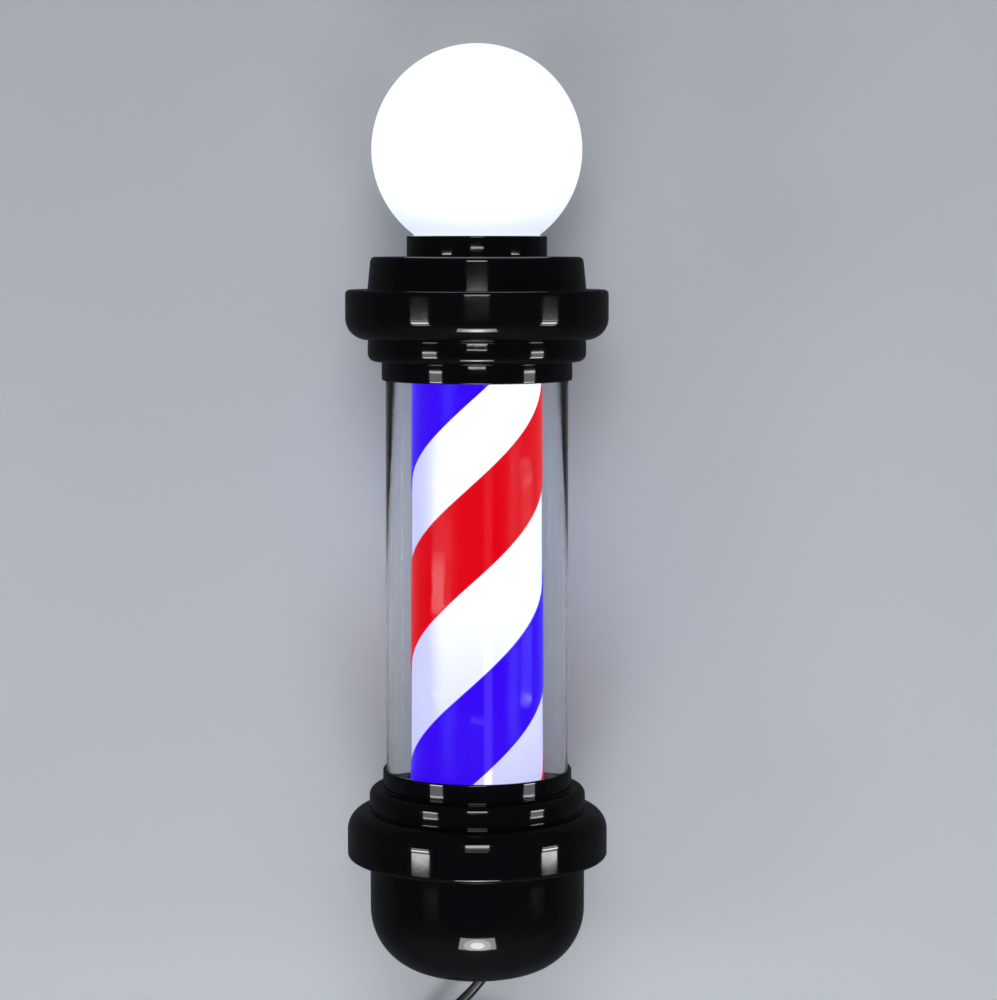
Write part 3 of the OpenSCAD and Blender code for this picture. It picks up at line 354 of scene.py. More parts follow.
def edge_wear():
    """Share of wear on proud edges, broken up by noise."""
    tree, given, result = effect("Edge wear", {"Amount": 0.5, "Sharpness": 0.54}, ("Share",))
    place = object_place(tree)
    proud = add(tree, "ShaderNodeNewGeometry").outputs["Pointiness"]
    edge = spread(tree, proud, 0.5, given.outputs["Sharpness"], 0.0, 1.0)
    broken = spread(tree, noise(tree, place, 120.0), 0.4, 0.62, 0.15, 1.0)
    tree.links.new(math_node(tree, "MULTIPLY", math_node(tree, "MULTIPLY", edge, broken),
                             given.outputs["Amount"]), result.inputs["Share"])
    return tree


LIGHT_TURN, LINE_TURN = math.radians(140), math.radians(-80.7)


def strip_glow():
    """Light of the strips inside the cylinder: broad, dimmer low down, with one fine line."""
    tree, given, result = effect("Strip glow", {"Dimmest": 0.7, "Foot": 0.8}, ("Light", "Line"))
    part = add(tree, "ShaderNodeSeparateXYZ", {0: object_place(tree)})
    depth = math_node(tree, "SUBTRACT", part.outputs["Y"], AXIS_Y)
    turn = math_node(tree, "ARCTAN2", depth, part.outputs["X"])
    twice = math_node(tree, "ADD", math_node(tree, "MULTIPLY", turn, 2.0), LIGHT_TURN)
    round_light = spread(tree, math_node(tree, "COSINE", twice), -1.0, -0.1,
                         given.outputs["Dimmest"], 1.0, "SMOOTHSTEP")
    along = spread(tree, part.outputs["Z"], -0.15, 0.01, given.outputs["Foot"], 1.0, "SMOOTHSTEP")
    tree.links.new(math_node(tree, "MULTIPLY", round_light, along), result.inputs["Light"])
    near = math_node(tree, "ABSOLUTE", math_node(tree, "SUBTRACT", turn, LINE_TURN))
    tree.links.new(spread(tree, near, 0.035, 0.085, 1.0, 0.0, "SMOOTHSTEP"), result.inputs["Line"])
    return tree


def rubbed_metal():
    """Fine rubbing lines and zinc spangle: a height and the roughness that goes with it."""
    tree, given, result = effect(
        "Rubbed metal", {"Roughness": 0.35, "Depth": 0.12}, ("Height", "Roughness", "Shade"))
    place = object_place(tree)
    lines = add(tree, "ShaderNodeMapping", {"Vector": place, "Scale": (90, 1500, 1500)}).outputs[0]
    rubbed = noise(tree, lines, 1.0, 3.0)
    spangle = add(tree, "ShaderNodeTexVoronoi", {"Vector": place, "Scale": 160.0}).outputs["Color"]
    shade = add(tree, "ShaderNodeSeparateColor", {0: spangle}).outputs[0]
    change = math_node(tree, "MULTIPLY", math_node(tree, "SUBTRACT", shade, 0.5),
                       given.outputs["Depth"])
    tree.links.new(rubbed, result.inputs["Height"])
    tree.links.new(math_node(tree, "ADD", given.outputs["Roughness"], change),
                   result.inputs["Roughness"])
    tree.links.new(shade, result.inputs["Shade"])
    return tree


GRAIN, DUST, WEAR = moulded_grain(), settled_dust(), edge_wear()
GLOW, RUBBED = strip_glow(), rubbed_metal()


def use(tree, group, **values):
    """Places an effect group with its own values and gives its outputs."""
    node = tree.nodes.new("ShaderNodeGroup")
    node.node_tree = group
    for label, value in values.items():
        node.inputs[label].default_value = value
    return node.outputs


def new_material(name):
    """New material, with its tree and its Principled shader."""
    material = bpy.data.materials.new(name)
    material.use_nodes = True
    tree = material.node_tree
    shader = tree.nodes["Principled BSDF"]
    return material, tree, shader


def rgba(colour):
    """Opaque colour."""
    return (*colour, 1.0)


def bumped(tree, shader, height, strength, distance=0.0002):
    """Feeds a shader's normal from a height."""
    bump = add(tree, "ShaderNodeBump", {
        "Strength": strength, "Distance": distance, "Height": height})
    tree.links.new(bump.outputs[0], shader.inputs["Normal"])


def skinned(tree, shader, grain, rough, smudge, bump):
    """Feeds a shader's roughness and normal from the skin of a moulding."""
    skin = use(tree, GRAIN, Scale=grain, Roughness=rough, Smudge=smudge)
    tree.links.new(skin["Roughness"], shader.inputs["Roughness"])
    bumped(tree, shader, skin["Height"], bump)


def moulding(name, colour, rough, grain=500.0, bump=0.1, smudge=0.1, dust=0.15, wear=0.3,
             worn=(0.2, 0.2, 0.21), dusty=(0.33, 0.33, 0.33)):
    """Moulded plastic or rubber with its skin, worn edges and settled dust."""
    material, tree, shader = new_material(name)
    skin = use(tree, GRAIN, Scale=grain, Roughness=rough, Smudge=smudge)
    powder = use(tree, DUST, Amount=dust)["Share"]
    rubbed = use(tree, WEAR, Amount=wear)["Share"]
    clean = blended(tree, rubbed, rgba(colour), rgba(worn))
    tree.links.new(blended(tree, powder, clean, rgba(dusty)), shader.inputs["Base Color"])
    dulled = math_node(tree, "ADD", skin["Roughness"], math_node(tree, "MULTIPLY", powder, 0.5))
    tree.links.new(dulled, shader.inputs["Roughness"])
    bumped(tree, shader, skin["Height"], bump)
    return material


def metal(name, colour, dark, rough, wear=0.4, metallic=1.0):
    """Plated or drawn metal, rubbed and spangled."""
    material, tree, shader = new_material(name)
    skin = use(tree, RUBBED, Roughness=rough)
    rubbed = use(tree, WEAR, Amount=wear)["Share"]
    mottled = blended(tree, spread(tree, skin["Shade"], 0.0, 1.0, 0.0, 0.5), rgba(colour), rgba(dark))
    bright = tuple(min(1.0, 1.25 * c) for c in colour)
    tree.links.new(blended(tree, rubbed, mottled, rgba(bright)), shader.inputs["Base Color"])
    tree.links.new(skin["Roughness"], shader.inputs["Roughness"])
    bumped(tree, shader, skin["Height"], 0.12, 0.0001)
    shader.inputs["Metallic"].default_value = metallic
    return material


def opal_globe():
    """Opal plastic lit from inside, a little dimmer towards its neck."""
    material, tree, shader = new_material("opal_globe")
    place = object_place(tree)
    height = add(tree, "ShaderNodeSeparateXYZ", {0: place}).outputs["Z"]
    centre = (MOUTH + GLOBE_Z) * MM
    low = spread(tree, height, centre - 0.08, centre - 0.01, 0.0, 1.0, "SMOOTHSTEP")
    cloud = spread(tree, noise(tree, place, 9.0, 2.0), 0.3, 0.7, 0.97, 1.0)
    light = blended(tree, low, rgba((0.66, 0.74, 0.86)), rgba((0.86, 0.89, 0.93)))
    tree.links.new(blended(tree, cloud, rgba((0.7, 0.76, 0.86)), light),
                   shader.inputs["Emission Color"])
    shader.inputs["Emission Strength"].default_value = 1.0
    skinned(tree, shader, 260.0, 0.22, 0.06, 0.04)
    shader.inputs["Base Color"].default_value = rgba((0.3, 0.31, 0.33))
    return material


STRIP_DIMMEST, STRIP_FOOT = 0.7, 0.74


def lit_film(name, base, shade, bright, line):
    """Translucent sleeve or film that the strips light from inside."""
    material, tree, shader = new_material(name)
    glow = use(tree, GLOW, Dimmest=STRIP_DIMMEST, Foot=STRIP_FOOT)
    share = spread(tree, glow["Light"], STRIP_DIMMEST, 1.0, 0.0, 1.0)
    lit = blended(tree, share, rgba(shade), rgba(bright))
    tree.links.new(blended(tree, glow["Line"], lit, rgba(line)), shader.inputs["Emission Color"])
    shader.inputs["Emission Strength"].default_value = 1.0
    shader.inputs["Base Color"].default_value = rgba(base)
    shader.inputs["Specular IOR Level"].default_value = 0.04
    skinned(tree, shader, 180.0, 0.3, 0.06, 0.05)
    return material


def clear_acrylic():
    """Clear tube wall; lamps shine through it, so its shadow is only faint."""
    material, tree, shader = new_material("clear_acrylic")
    shader.inputs["Base Color"].default_value = rgba((0.96, 0.985, 1.0))
    shader.inputs["Transmission Weight"].default_value = 1.0
    shader.inputs["IOR"].default_value = 1.49
    shader.inputs["Specular Tint"].default_value = rgba((0.06, 0.06, 0.065))
    shader.inputs["Sheen Weight"].default_value = 0.25
    shader.inputs["Sheen Roughness"].default_value = 0.2
    skin = use(tree, GRAIN, Scale=90.0, Roughness=0.02, Smudge=0.03)
    tree.links.new(skin["Roughness"], shader.inputs["Roughness"])
    passing = add(tree, "ShaderNodeBsdfTransparent", {"Color": rgba((0.93, 0.95, 0.97))})
    path = add(tree, "ShaderNodeLightPath")
    mixed = add(tree, "ShaderNodeMixShader", {
        0: path.outputs["Is Shadow Ray"], 1: shader.outputs[0], 2: passing.outputs[0]})
    tree.links.new(mixed.outputs[0], tree.nodes["Material Output"].inputs["Surface"])
    return material


BLACK_GLOSS = moulding("black_gloss", (0.001, 0.001, 0.0016), 0.06, grain=160.0, bump=0.03,
                       smudge=0.03, dust=0.01, wear=0.05, worn=(0.03, 0.03, 0.035),
                       dusty=(0.1, 0.1, 0.11))
BLACK_SATIN = moulding("black_satin", (0.012, 0.012, 0.013), 0.42, bump=0.25, dust=0.05)
BLACK_RUBBER = moulding("black_rubber", (0.012, 0.012, 0.012), 0.55, grain=700.0, bump=0.35,
                        dust=0.12, wear=0.1)
CORD_SHEATH = moulding("cord_sheath", (0.01, 0.01, 0.011), 0.38, grain=900.0, bump=0.2,
                       dust=0.06, wear=0.0)
WHITE_PLASTIC = moulding("white_plastic", (0.78, 0.78, 0.75), 0.4, bump=0.15, dust=0.05,
                         worn=(0.85, 0.85, 0.83))
NATURAL_PLASTIC = moulding("natural_plastic", (0.8, 0.77, 0.68), 0.38, bump=0.15, dust=0.03,
                           worn=(0.86, 0.84, 0.78))
SOFT_CLEAR = moulding("soft_clear", (0.7, 0.71, 0.72), 0.35, bump=0.1, dust=0.05,
                      worn=(0.75, 0.75, 0.75))
MARK_WHITE = moulding("mark_white", (0.85, 0.85, 0.85), 0.5, dust=0.0, wear=0.0)
ZINC_STEEL = metal("zinc_steel", (0.52, 0.53, 0.55), (0.36, 0.37, 0.4), 0.34, metallic=0.75)
BLACK_STEEL = metal("black_steel", (0.012, 0.012, 0.013), (0.006, 0.006, 0.007), 0.3, wear=0.15)
ALUMINIUM = metal("aluminium", (0.68, 0.69, 0.7), (0.52, 0.53, 0.55), 0.38)
NICKEL = metal("nickel", (0.66, 0.64, 0.58), (0.55, 0.53, 0.48), 0.2)
OPAL = opal_globe()
CLEAR = clear_acrylic()
SLEEVE_WHITE = lit_film("sleeve_white", (0.1, 0.1, 0.11), (0.52, 0.53, 0.9), (0.93, 0.94, 0.96),
                        (0.94, 0.95, 0.97))
FILM_RED = lit_film("film_red", (0.03, 0.0003, 0.001), (0.7, 0.0, 0.006), (0.74, 0.0, 0.007),
                    (0.77, 0.01, 0.02))
FILM_BLUE = lit_film("film_blue", (0.002, 0.0003, 0.03), (0.038, 0.001, 0.86), (0.034, 0.0, 0.93),
                     (0.075, 0.022, 0.94))

NODE_FINISH = {
    ZINC_STEEL: (
        "gallery_screws", "lampholder_screws", "upper_deck", "lower_deck", "deck_screws",
        "centre_pipe", "pipe_nuts", "thrust_collar", "collar_screw", "gear_screws",
        "motor_body", "motor_screws", "motor_nuts", "motor_shaft", "tray_screws",
        "upper_bracket", "lower_bracket", "bracket_screws"),
    BLACK_STEEL: ("lid_screws", "dome_screws"),
    BLACK_RUBBER: ("upper_seal", "lower_seal"),
    BLACK_SATIN: ("upper_hub", "lower_hub", "light_switch", "motor_switch", "light_rocker",
                  "motor_rocker", "gland_nut", "cord_tie"),
    NATURAL_PLASTIC: ("upper_bush", "lower_bush", "drive_gear", "motor_pinion"),
    WHITE_PLASTIC: ("bulb_base", "lampholder", "led_strips", "led_driver", "terminal_block"),
    ALUMINIUM: ("led_spine",),
    SOFT_CLEAR: ("globe_gasket",),
    OPAL: ("bulb_diffuser",),
    NICKEL: ("plug_pins",),
}
for material, names in NODE_FINISH.items():
    for name in names:
        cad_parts[name].data.materials.clear()
        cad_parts[name].data.materials.append(material)


# ---------- shapes that repeat ----------

def geometry_tree(name, inputs):
    """Empty Geometry Nodes tree with named inputs and one geometry output."""
    tree = bpy.data.node_groups.new(name, "GeometryNodeTree")
    for label, kind in inputs.items():
        tree.interface.new_socket(label, in_out="INPUT", socket_type=kind)
    tree.interface.new_socket("Geometry", in_out="OUTPUT", socket_type="NodeSocketGeometry")
    return tree, tree.nodes.new("NodeGroupInput"), tree.nodes.new("NodeGroupOutput")


def finish_tree(tree, geometry, given, result):
    """Ends a tree in real geometry with its material."""
    real = add(tree, "GeometryNodeRealizeInstances", {0: geometry})
    painted = add(tree, "GeometryNodeSetMaterial", {
        "Geometry": real.outputs[0], "Material": given.outputs["Finish"]})
    tree.links.new(painted.outputs[0], result.inputs[0])


def grown(name, tree, values):
    """Runs a tree with its named inputs and returns the plain mesh that it makes."""
    seed = link(name + "_seed", bpy.data.meshes.new(name + "_seed"))
    modifier = seed.modifiers.new("make", "NODES")
    modifier.node_group = tree
    for item in tree.interface.items_tree:
        if item.in_out == "INPUT" and item.name in values:
            modifier[item.identifier] = values[item.name]
    whole = seed.evaluated_get(bpy.context.evaluated_depsgraph_get())
    mesh = bpy.data.meshes.new_from_object(whole)
    mesh.name = name
    bpy.data.objects.remove(seed)
    return smoothed(mesh)


def ribs_tree():
    """Straight row of equal rounded ribs along X."""
    tree, given, result = geometry_tree("Row of ribs", {
        "Count": "NodeSocketInt", "Spacing": "NodeSocketFloat", "Rib Size": "NodeSocketVector",
        "Finish": "NodeSocketMaterial"})
    size = given.outputs
    step = add(tree, "ShaderNodeCombineXYZ", {"X": size["Spacing"]})
    half = math_node(tree, "MULTIPLY", math_node(tree, "SUBTRACT", size["Count"], 1.0), -0.5)
    first = math_node(tree, "MULTIPLY", half, size["Spacing"])
    start = add(tree, "ShaderNodeCombineXYZ", {"X": first})
    line = add(tree, "GeometryNodeMeshLine", {
        "Count": size["Count"], "Start Location": start.outputs[0], "Offset": step.outputs[0]})
    rib = add(tree, "GeometryNodeMeshUVSphere", {"Segments": 12, "Rings": 8, "Radius": 0.5})
    placed = add(tree, "GeometryNodeInstanceOnPoints", {
        "Points": line.outputs[0], "Instance": rib.outputs["Mesh"], "Scale": size["Rib Size"]})
    finish_tree(tree, placed.outputs[0], given, result)
    return tree


RIBS = ribs_tree()


def rib_row(name, count, spacing, size, finish, place):
    """Row of ribs with its sizes in millimetres, put in its place."""
    mesh = grown(name, RIBS, {"Count": count, "Spacing": spacing * MM,
                              "Rib Size": [s * MM for s in size], "Finish": finish})
    mesh.transform(place)
    return mesh


# ---------- strain relief ----------

CORD_D = 8
GLAND_AZIMUTH, GLAND_TILT, GLAND_L, GLAND_SEAT = 81, 50, 22, 1.5


def crown_meet():
    """Angle at which the dome's knuckle runs into its crown."""
    return math.acos((DOME_R - KNUCKLE_R) / (CROWN_R - KNUCKLE_R))


def knuckle_z():
    """Height of the knuckle's centre, outwards from the cap's mouth."""
    return DOME_END - CROWN_R + (CROWN_R - KNUCKLE_R) * math.sin(crown_meet())


def gland_place():
    """Where the gland stands on the dome's knuckle, with Z along the cord."""
    azimuth, tilt = math.radians(GLAND_AZIMUTH), math.radians(GLAND_TILT)
    level = Vector((math.cos(azimuth), math.sin(azimuth), 0))
    along = level * math.cos(tilt) + Vector((0, 0, -math.sin(tilt)))
    base = Vector((0, AXIS_Y / MM, -(MOUTH + knuckle_z()))) + level * (DOME_R - KNUCKLE_R)
    across = along.cross(Vector((0, 0, 1))).normalized()
    turn = Matrix((across, along.cross(across), along)).transposed().to_4x4()
    return Matrix.Translation((base + along * KNUCKLE_R) * MM) @ turn


def strain_relief():
    """Threaded gland with a collar and a ribbed tail that tapers to the cord."""
    corners = [(0, -9, 0), (6, -9, 0.5), (6, GLAND_SEAT, 0), (8.5, GLAND_SEAT, 0.3), (8.5, 4, 0.8),
               (6.7, 4, 0.4)]
    for k in range(5):
        z, r = 6.2 + 2.9 * k, 6.5 - 0.24 * k
        corners += [(r, z, 0.25), (r - 1.1, z, 0.25), (r - 1.1, z + 1.3, 0.25),
                    (r - 0.1, z + 1.3, 0.25)]
    corners += [(5, GLAND_L, 0.4), (CORD_D / 2, GLAND_L, 0), (CORD_D / 2, 18, 0), (0, 18, 0)]
    return turned("strain_relief", rounded(corners, 15), gland_place(), 64)


fit(link("strain_relief", strain_relief()), "root", BLACK_RUBBER, ("cord_gland",))


# ---------- cord ----------

CORD_STEPS = [
    (0, 0, 0), (0.5, 5.5, -7), (-1, 10, -14), (-3.5, 14, -21), (-7.5, 17, -28),
    (-12.5, 18.5, -35), (-18, 19.5, -41.5), (-26, 19.5, -49.5), (-34, 19.5, -57.5),
    (-42, 19.5, -65.5),
]
CORD_START = gland_place() @ Vector((0, 0, GLAND_L * MM)) / MM
CORD_ROUTE = [CORD_START + Vector(step) for step in CORD_STEPS]
COIL_TURN_R = 52
COIL_LEAD = 30
COIL_START = math.radians(135)
COIL_ENTRY = Vector((-math.sin(COIL_START), 0, math.cos(COIL_START)))
COIL_AT = (CORD_ROUTE[-1] + COIL_LEAD * COIL_ENTRY + Vector((0, CORD_D, 0))
           - COIL_TURN_R * Vector((math.cos(COIL_START), 0, math.sin(COIL_START))))
COIL_LAYS = [(0, -1), (1, -1), (2, -1), (2, 0), (1, 0), (1, 1), (0, 1)]
SHIFT_FIRST, SHIFT_STAGGER, SHIFT_WIDTH = 270, 46, 90
PLUG_AT = COIL_AT + Vector((-COIL_TURN_R, CORD_D, -COIL_LEAD))
CORD_END = PLUG_AT + Vector((0, 0, -3))


def through(points, count):
    """Evenly spaced points on one smooth curve through the given points."""
    given = [Vector(p) for p in points]
    ends = [2 * given[0] - given[1], *given, 2 * given[-1] - given[-2]]
    fine = []
    for a, b, c, d in zip(ends, ends[1:], ends[2:], ends[3:]):
        for k in range(12):
            t = k / 12
            fine.append(0.5 * (2 * b + (c - a) * t + (2 * a - 5 * b + 4 * c - d) * t ** 2
                               + (3 * b - a - 3 * c + d) * t ** 3))
    fine.append(given[-1])
    gaps = [(q - p).length for p, q in zip(fine, fine[1:])]
    step, even, walked = sum(gaps) / (count - 1), [fine[0]], 0.0
    for p, q, gap in zip(fine, fine[1:], gaps):
        while len(even) < count - 1 and walked + gap >= step * len(even):
            even.append(p.lerp(q, (step * len(even) - walked) / gap))
        walked += gap
    return even + [fine[-1]]


def straight(start, end, count):
    """Evenly spaced points from a start, which is left out, to an end."""
    return [start.lerp(end, k / count) for k in range(1, count + 1)]


def coil_place(turn, angle):
    """Radius and depth of the cord in the coil: it shifts one lay over in each turn."""
    lay = COIL_LAYS[turn]
    if turn + 1 < len(COIL_LAYS):
        share = (angle - SHIFT_FIRST + SHIFT_STAGGER * turn) / SHIFT_WIDTH
        share = max(0.0, min(1.0, share))
        share = share * share * (3 - 2 * share)
        after = COIL_LAYS[turn + 1]
        lay = (lay[0] + (after[0] - lay[0]) * share, lay[1] + (after[1] - lay[1]) * share)
    return COIL_TURN_R - CORD_D * lay[0], CORD_D * lay[1]


def coil_points(per_turn=48):
    """Turns of the coil from its start to where the cord leaves it downwards."""
    points = []
    total = (len(COIL_LAYS) - 1) * 360 + 180 - math.degrees(COIL_START)
    for i in range(1, int(total * per_turn / 360) + 1):
        run = i * 360 / per_turn
        turn = int(run // 360)
        radius, depth = coil_place(turn, run - 360 * turn)
        angle = COIL_START + math.radians(run)
        points.append(COIL_AT + Vector((radius * math.cos(angle), depth, radius * math.sin(angle))))
    return points


coil_begin = CORD_ROUTE[-1] + COIL_LEAD * COIL_ENTRY
turns = coil_points()
cord_line = [p * MM for p in through(CORD_ROUTE, 30) + straight(CORD_ROUTE[-1], coil_begin, 6)
             + turns + straight(turns[-1], CORD_END, 7)]
power_lead = fit(link("power_lead", swept("power_lead", cord_line, CORD_D / 2 * MM)), "root",
                 CORD_SHEATH, ("power_cord", "cord_coil"))


def plug_body():
    """Moulded plug with a ribbed tail, lofted through rounded sections."""
    sections = [(0, 3.9, 3.9, 2), (0.6, 4.4, 4.4, 2)]
    for k in range(6):
        z, r = 2 + 3.5 * k, 4.5 + 0.22 * k
        sections += [(z, r, r, 2), (z + 0.3, r - 0.7, r - 0.7, 2), (z + 1.2, r - 0.7, r - 0.7, 2),
                     (z + 1.5, r + 0.05, r + 0.05, 2)]
    sections += [(23.4, 5.8, 5.8, 2), (24.2, 7.6, 6.2, 2.4), (27, 9.4, 6.6, 2.8),
                 (33, 13.2, 6.9, 3.2), (39, 16.4, 7, 3.6), (44, 17.4, 7, 4), (50, 17.2, 7, 4),
                 (56, 16.6, 7, 4), (58.6, 16, 6.8, 4), (59.6, 15.3, 6.2, 4), (60, 14.4, 5.4, 4)]
    sides, points = 48, []
    for z, half_width, half_depth, power in sections:
        for k in range(sides):
            t = 2 * math.pi * k / sides
            c, s = math.cos(t), math.sin(t)
            points.append((half_width * math.copysign(abs(c) ** (2 / power), c),
                           half_depth * math.copysign(abs(s) ** (2 / power), s), z))
    place = Matrix.Translation(PLUG_AT * MM) @ Matrix.Rotation(math.pi, 4, "X")
    points = [place @ (Vector(p) * MM) for p in points]
    return mesh_of("plug_shell", points, loft_faces(len(sections), sides), 40)


GRIP_OUT, GRIP_DOWN = 6.9, 49


def plug_grips():
    """Grip ribs on the plug's two broad faces, standing half proud."""
    rows = []
    for side in (-1, 1):
        middle = PLUG_AT + Vector((0, side * GRIP_OUT, -GRIP_DOWN))
        place = Matrix.Translation(middle * MM) @ Matrix.Rotation(math.pi / 2, 4, "Y")
        rows.append(rib_row("plug_grip", 5, 2.6, (1.2, 0.7, 17), BLACK_RUBBER, place))
    return rows


plug_shell = fit(link("plug_shell", joined("plug_shell", [plug_body(), *plug_grips()])), "root",
                 BLACK_RUBBER, ("plug",))


# ---------- cap castings, lid, dome ----------

def step_side(radius, low, belly, high, foot_round, head_round, bow):
    """Corners of a step's side, which swells a little between its two edges."""
    return [(radius - SIDE_DIP, low, foot_round), (radius + SIDE_SWELL, belly, bow),
            (radius - SIDE_DIP, high, head_round)]


def cap_shell(name, end):
    """Stepped casting with its pocket for the seal, and the boss that meets the bracket."""
    # Points just past the ring's two fillets keep the shading of its wall straight.
    straight_low, straight_high = STEP2_Z + RING_ROUND + 0.3, CAP_H - RING_EDGE - 0.3
    outline = rounded([
        (BORE_R, 0, 0.3),
        *step_side(STEP3_R, 0, STEP3_H / 2, STEP3_H, 1.2, 0.6, 110),
        *step_side(STEP2_R, STEP3_H, STEP2_BELLY_Z, STEP2_Z, 6, 0.5, 70),
        (RING_R, STEP2_Z, RING_ROUND), (RING_R, straight_low, 0), (RING_R, straight_high, 0),
        (RING_R, CAP_H, RING_EDGE), (RING_IN_R, CAP_H, 0.3), (RING_IN_R, SEAT_Z, RING_IN_ROUND),
        (POCKET_R, SEAT_Z, 0), (POCKET_R, POCKET_Z, 3), (BORE_R, POCKET_Z, 0)], 6)
    shell = turned(name, [(r, MOUTH + h) for r, h in outline], end, 256)
    middle = MOUTH + (STEP2_Z + CAP_H) / 2
    side, root = BACK_BOSS_W / 2, RING_R - 12
    block = rounded([(-side, root, 0), (side, root, 0), (side, BACK_BOSS_END, 2.5),
                     (-side, BACK_BOSS_END, 2.5)])
    boss = slab(name, block, middle - BACK_BOSS_H / 2, middle + BACK_BOSS_H / 2, end, 0.8)
    return joined(name, [shell, boss])


def lid_shell():
    """Lid with its brim inside the ring and the drum that it carries."""
    outline = rounded([
        (0, BRIM_Z, 0), (BRIM_R, BRIM_Z, 0), (BRIM_R, CAP_H, 0.5), (DRUM_R, CAP_H, 0.8),
        (DRUM_TOP_R, DRUM_TOP, 4), (0, DRUM_TOP, 0)], 6)
    return turned("lid_shell", [(r, MOUTH + h) for r, h in outline], UPPER, 256)


def gallery_shell():
    """Short collar that the globe's neck stands in."""
    outline = rounded([
        (0, DRUM_TOP, 0), (GALLERY_R, DRUM_TOP, 0.6), (GALLERY_R, GALLERY_TOP, 1.2),
        (NECK_R + 1, GALLERY_TOP, 0.6), (NECK_R + 1, GALLERY_FLOOR, 0), (0, GALLERY_FLOOR, 0)], 9)
    return turned("gallery_shell", [(r, MOUTH + h) for r, h in outline], UPPER, 192)


def globe_shell():
    """Hollow globe that is open at its neck."""
    inner = GLOBE_R - GLOBE_WALL
    neck_in = NECK_R - GLOBE_WALL
    centre = (0, GLOBE_Z)
    outer_start = -math.degrees(math.acos(NECK_R / GLOBE_R))
    inner_start = -math.degrees(math.acos(neck_in / inner))
    outline = [(neck_in, NECK_END), (NECK_R - 0.5, NECK_END), (NECK_R, NECK_END + 0.5)]
    outline += arc(centre, GLOBE_R, outer_start, 90, 72)[:-1] + [(0, GLOBE_Z + GLOBE_R)]
    outline += [(0, GLOBE_Z + inner)] + arc(centre, inner, 90, inner_start, 60)[1:]
    return turned("globe_shell", [(r, MOUTH + h) for r, h in outline], UPPER, 192)


def bowl_arcs(wall):
    """Knuckle and crown of the dome, drawn inwards by a wall."""
    meet = math.degrees(crown_meet())
    knuckle = arc((DOME_R - KNUCKLE_R, knuckle_z()), KNUCKLE_R - wall, 0, meet, 28)
    crown = arc((0, DOME_END - CROWN_R), CROWN_R - wall, meet, 90, 28)
    return knuckle + crown[1:-1] + [(0, DOME_END - wall)]


def dome_shell():
    """Dome with its brim inside the ring, the switches' flat pad and the gland's boss."""
    # The brim's last two corners only lead its fillet into the wall.
    brim = rounded([
        (DOME_R - DOME_WALL, BRIM_Z, 0), (BRIM_R, BRIM_Z, 0), (BRIM_R, CAP_H, 0.5),
        (DOME_R, CAP_H, 0.8), (DOME_R, CAP_H + 20, 0), (DOME_R - DOME_WALL, CAP_H + 20, 0)], 9)[:-2]
    outline = brim + [(DOME_R, h) for h in (CAP_H + 12, CAP_H + 28)]
    outline += bowl_arcs(0) + bowl_arcs(DOME_WALL)[::-1]
    shell = turned("dome_shell", [(r, MOUTH + h) for r, h in outline], LOWER, 256)
    pad_middle = Matrix.Translation((0, 0, (MOUTH + CAP_H + PAD_DROP) * MM))
    pad_place = LOWER @ pad_middle @ Matrix.Rotation(-math.pi / 2, 4, "X")
    face = rounded([(x * PAD_W / 2, z * PAD_H / 2, PAD_ROUND)
                    for x, z in ((-1, -1), (1, -1), (1, 1), (-1, 1))])
    pad = slab("switch_pad", face, DOME_R - 22, DOME_R + PAD_PROUD, pad_place, 0.9)
    seat = rounded([(0, -6, 0), (10, -6, 0), (10, GLAND_SEAT, 0.6), (0, GLAND_SEAT, 0)])
    boss = turned("gland_boss", seat, gland_place(), 64)
    return joined("dome_shell", [shell, pad, boss])


for name, mesh, node in (
        ("upper_cap", cap_shell("upper_cap", UPPER), "upper_housing"),
        ("lower_cap", cap_shell("lower_cap", LOWER), "lower_housing"),
        ("lid_shell", lid_shell(), "lid"), ("dome_shell", dome_shell(), "dome"),
        ("gallery_shell", gallery_shell(), "globe_gallery")):
    fit(link(name, mesh), "root", BLACK_GLOSS, (node,))
fit(link("globe_shell", globe_shell()), "root", OPAL, ("globe",))


# ---------- tube and striped cylinder ----------

def pipe_shell(name, outer, wall, end, edge, segments):
    """Plain pipe round the pole's axis, as long above the middle as below it."""
    inner = outer - wall
    outline = rounded([(inner, -end, edge), (outer, -end, edge), (outer, end, edge),
                       (inner, end, edge)], 30)
    return turned(name, outline, POLE, segments, 60)


fit(link("tube_wall", pipe_shell("tube_wall", TUBE_R, TUBE_WALL, TUBE_END, 0.4, 256)),
    "root", CLEAR, ("clear_tube",))
fit(link("white_sleeve", pipe_shell("white_sleeve", SLEEVE_R, SLEEVE_WALL, SLEEVE_END, 0.3, 192)),
    "striped_cylinder", SLEEVE_WHITE, ("stripe_sleeve",))


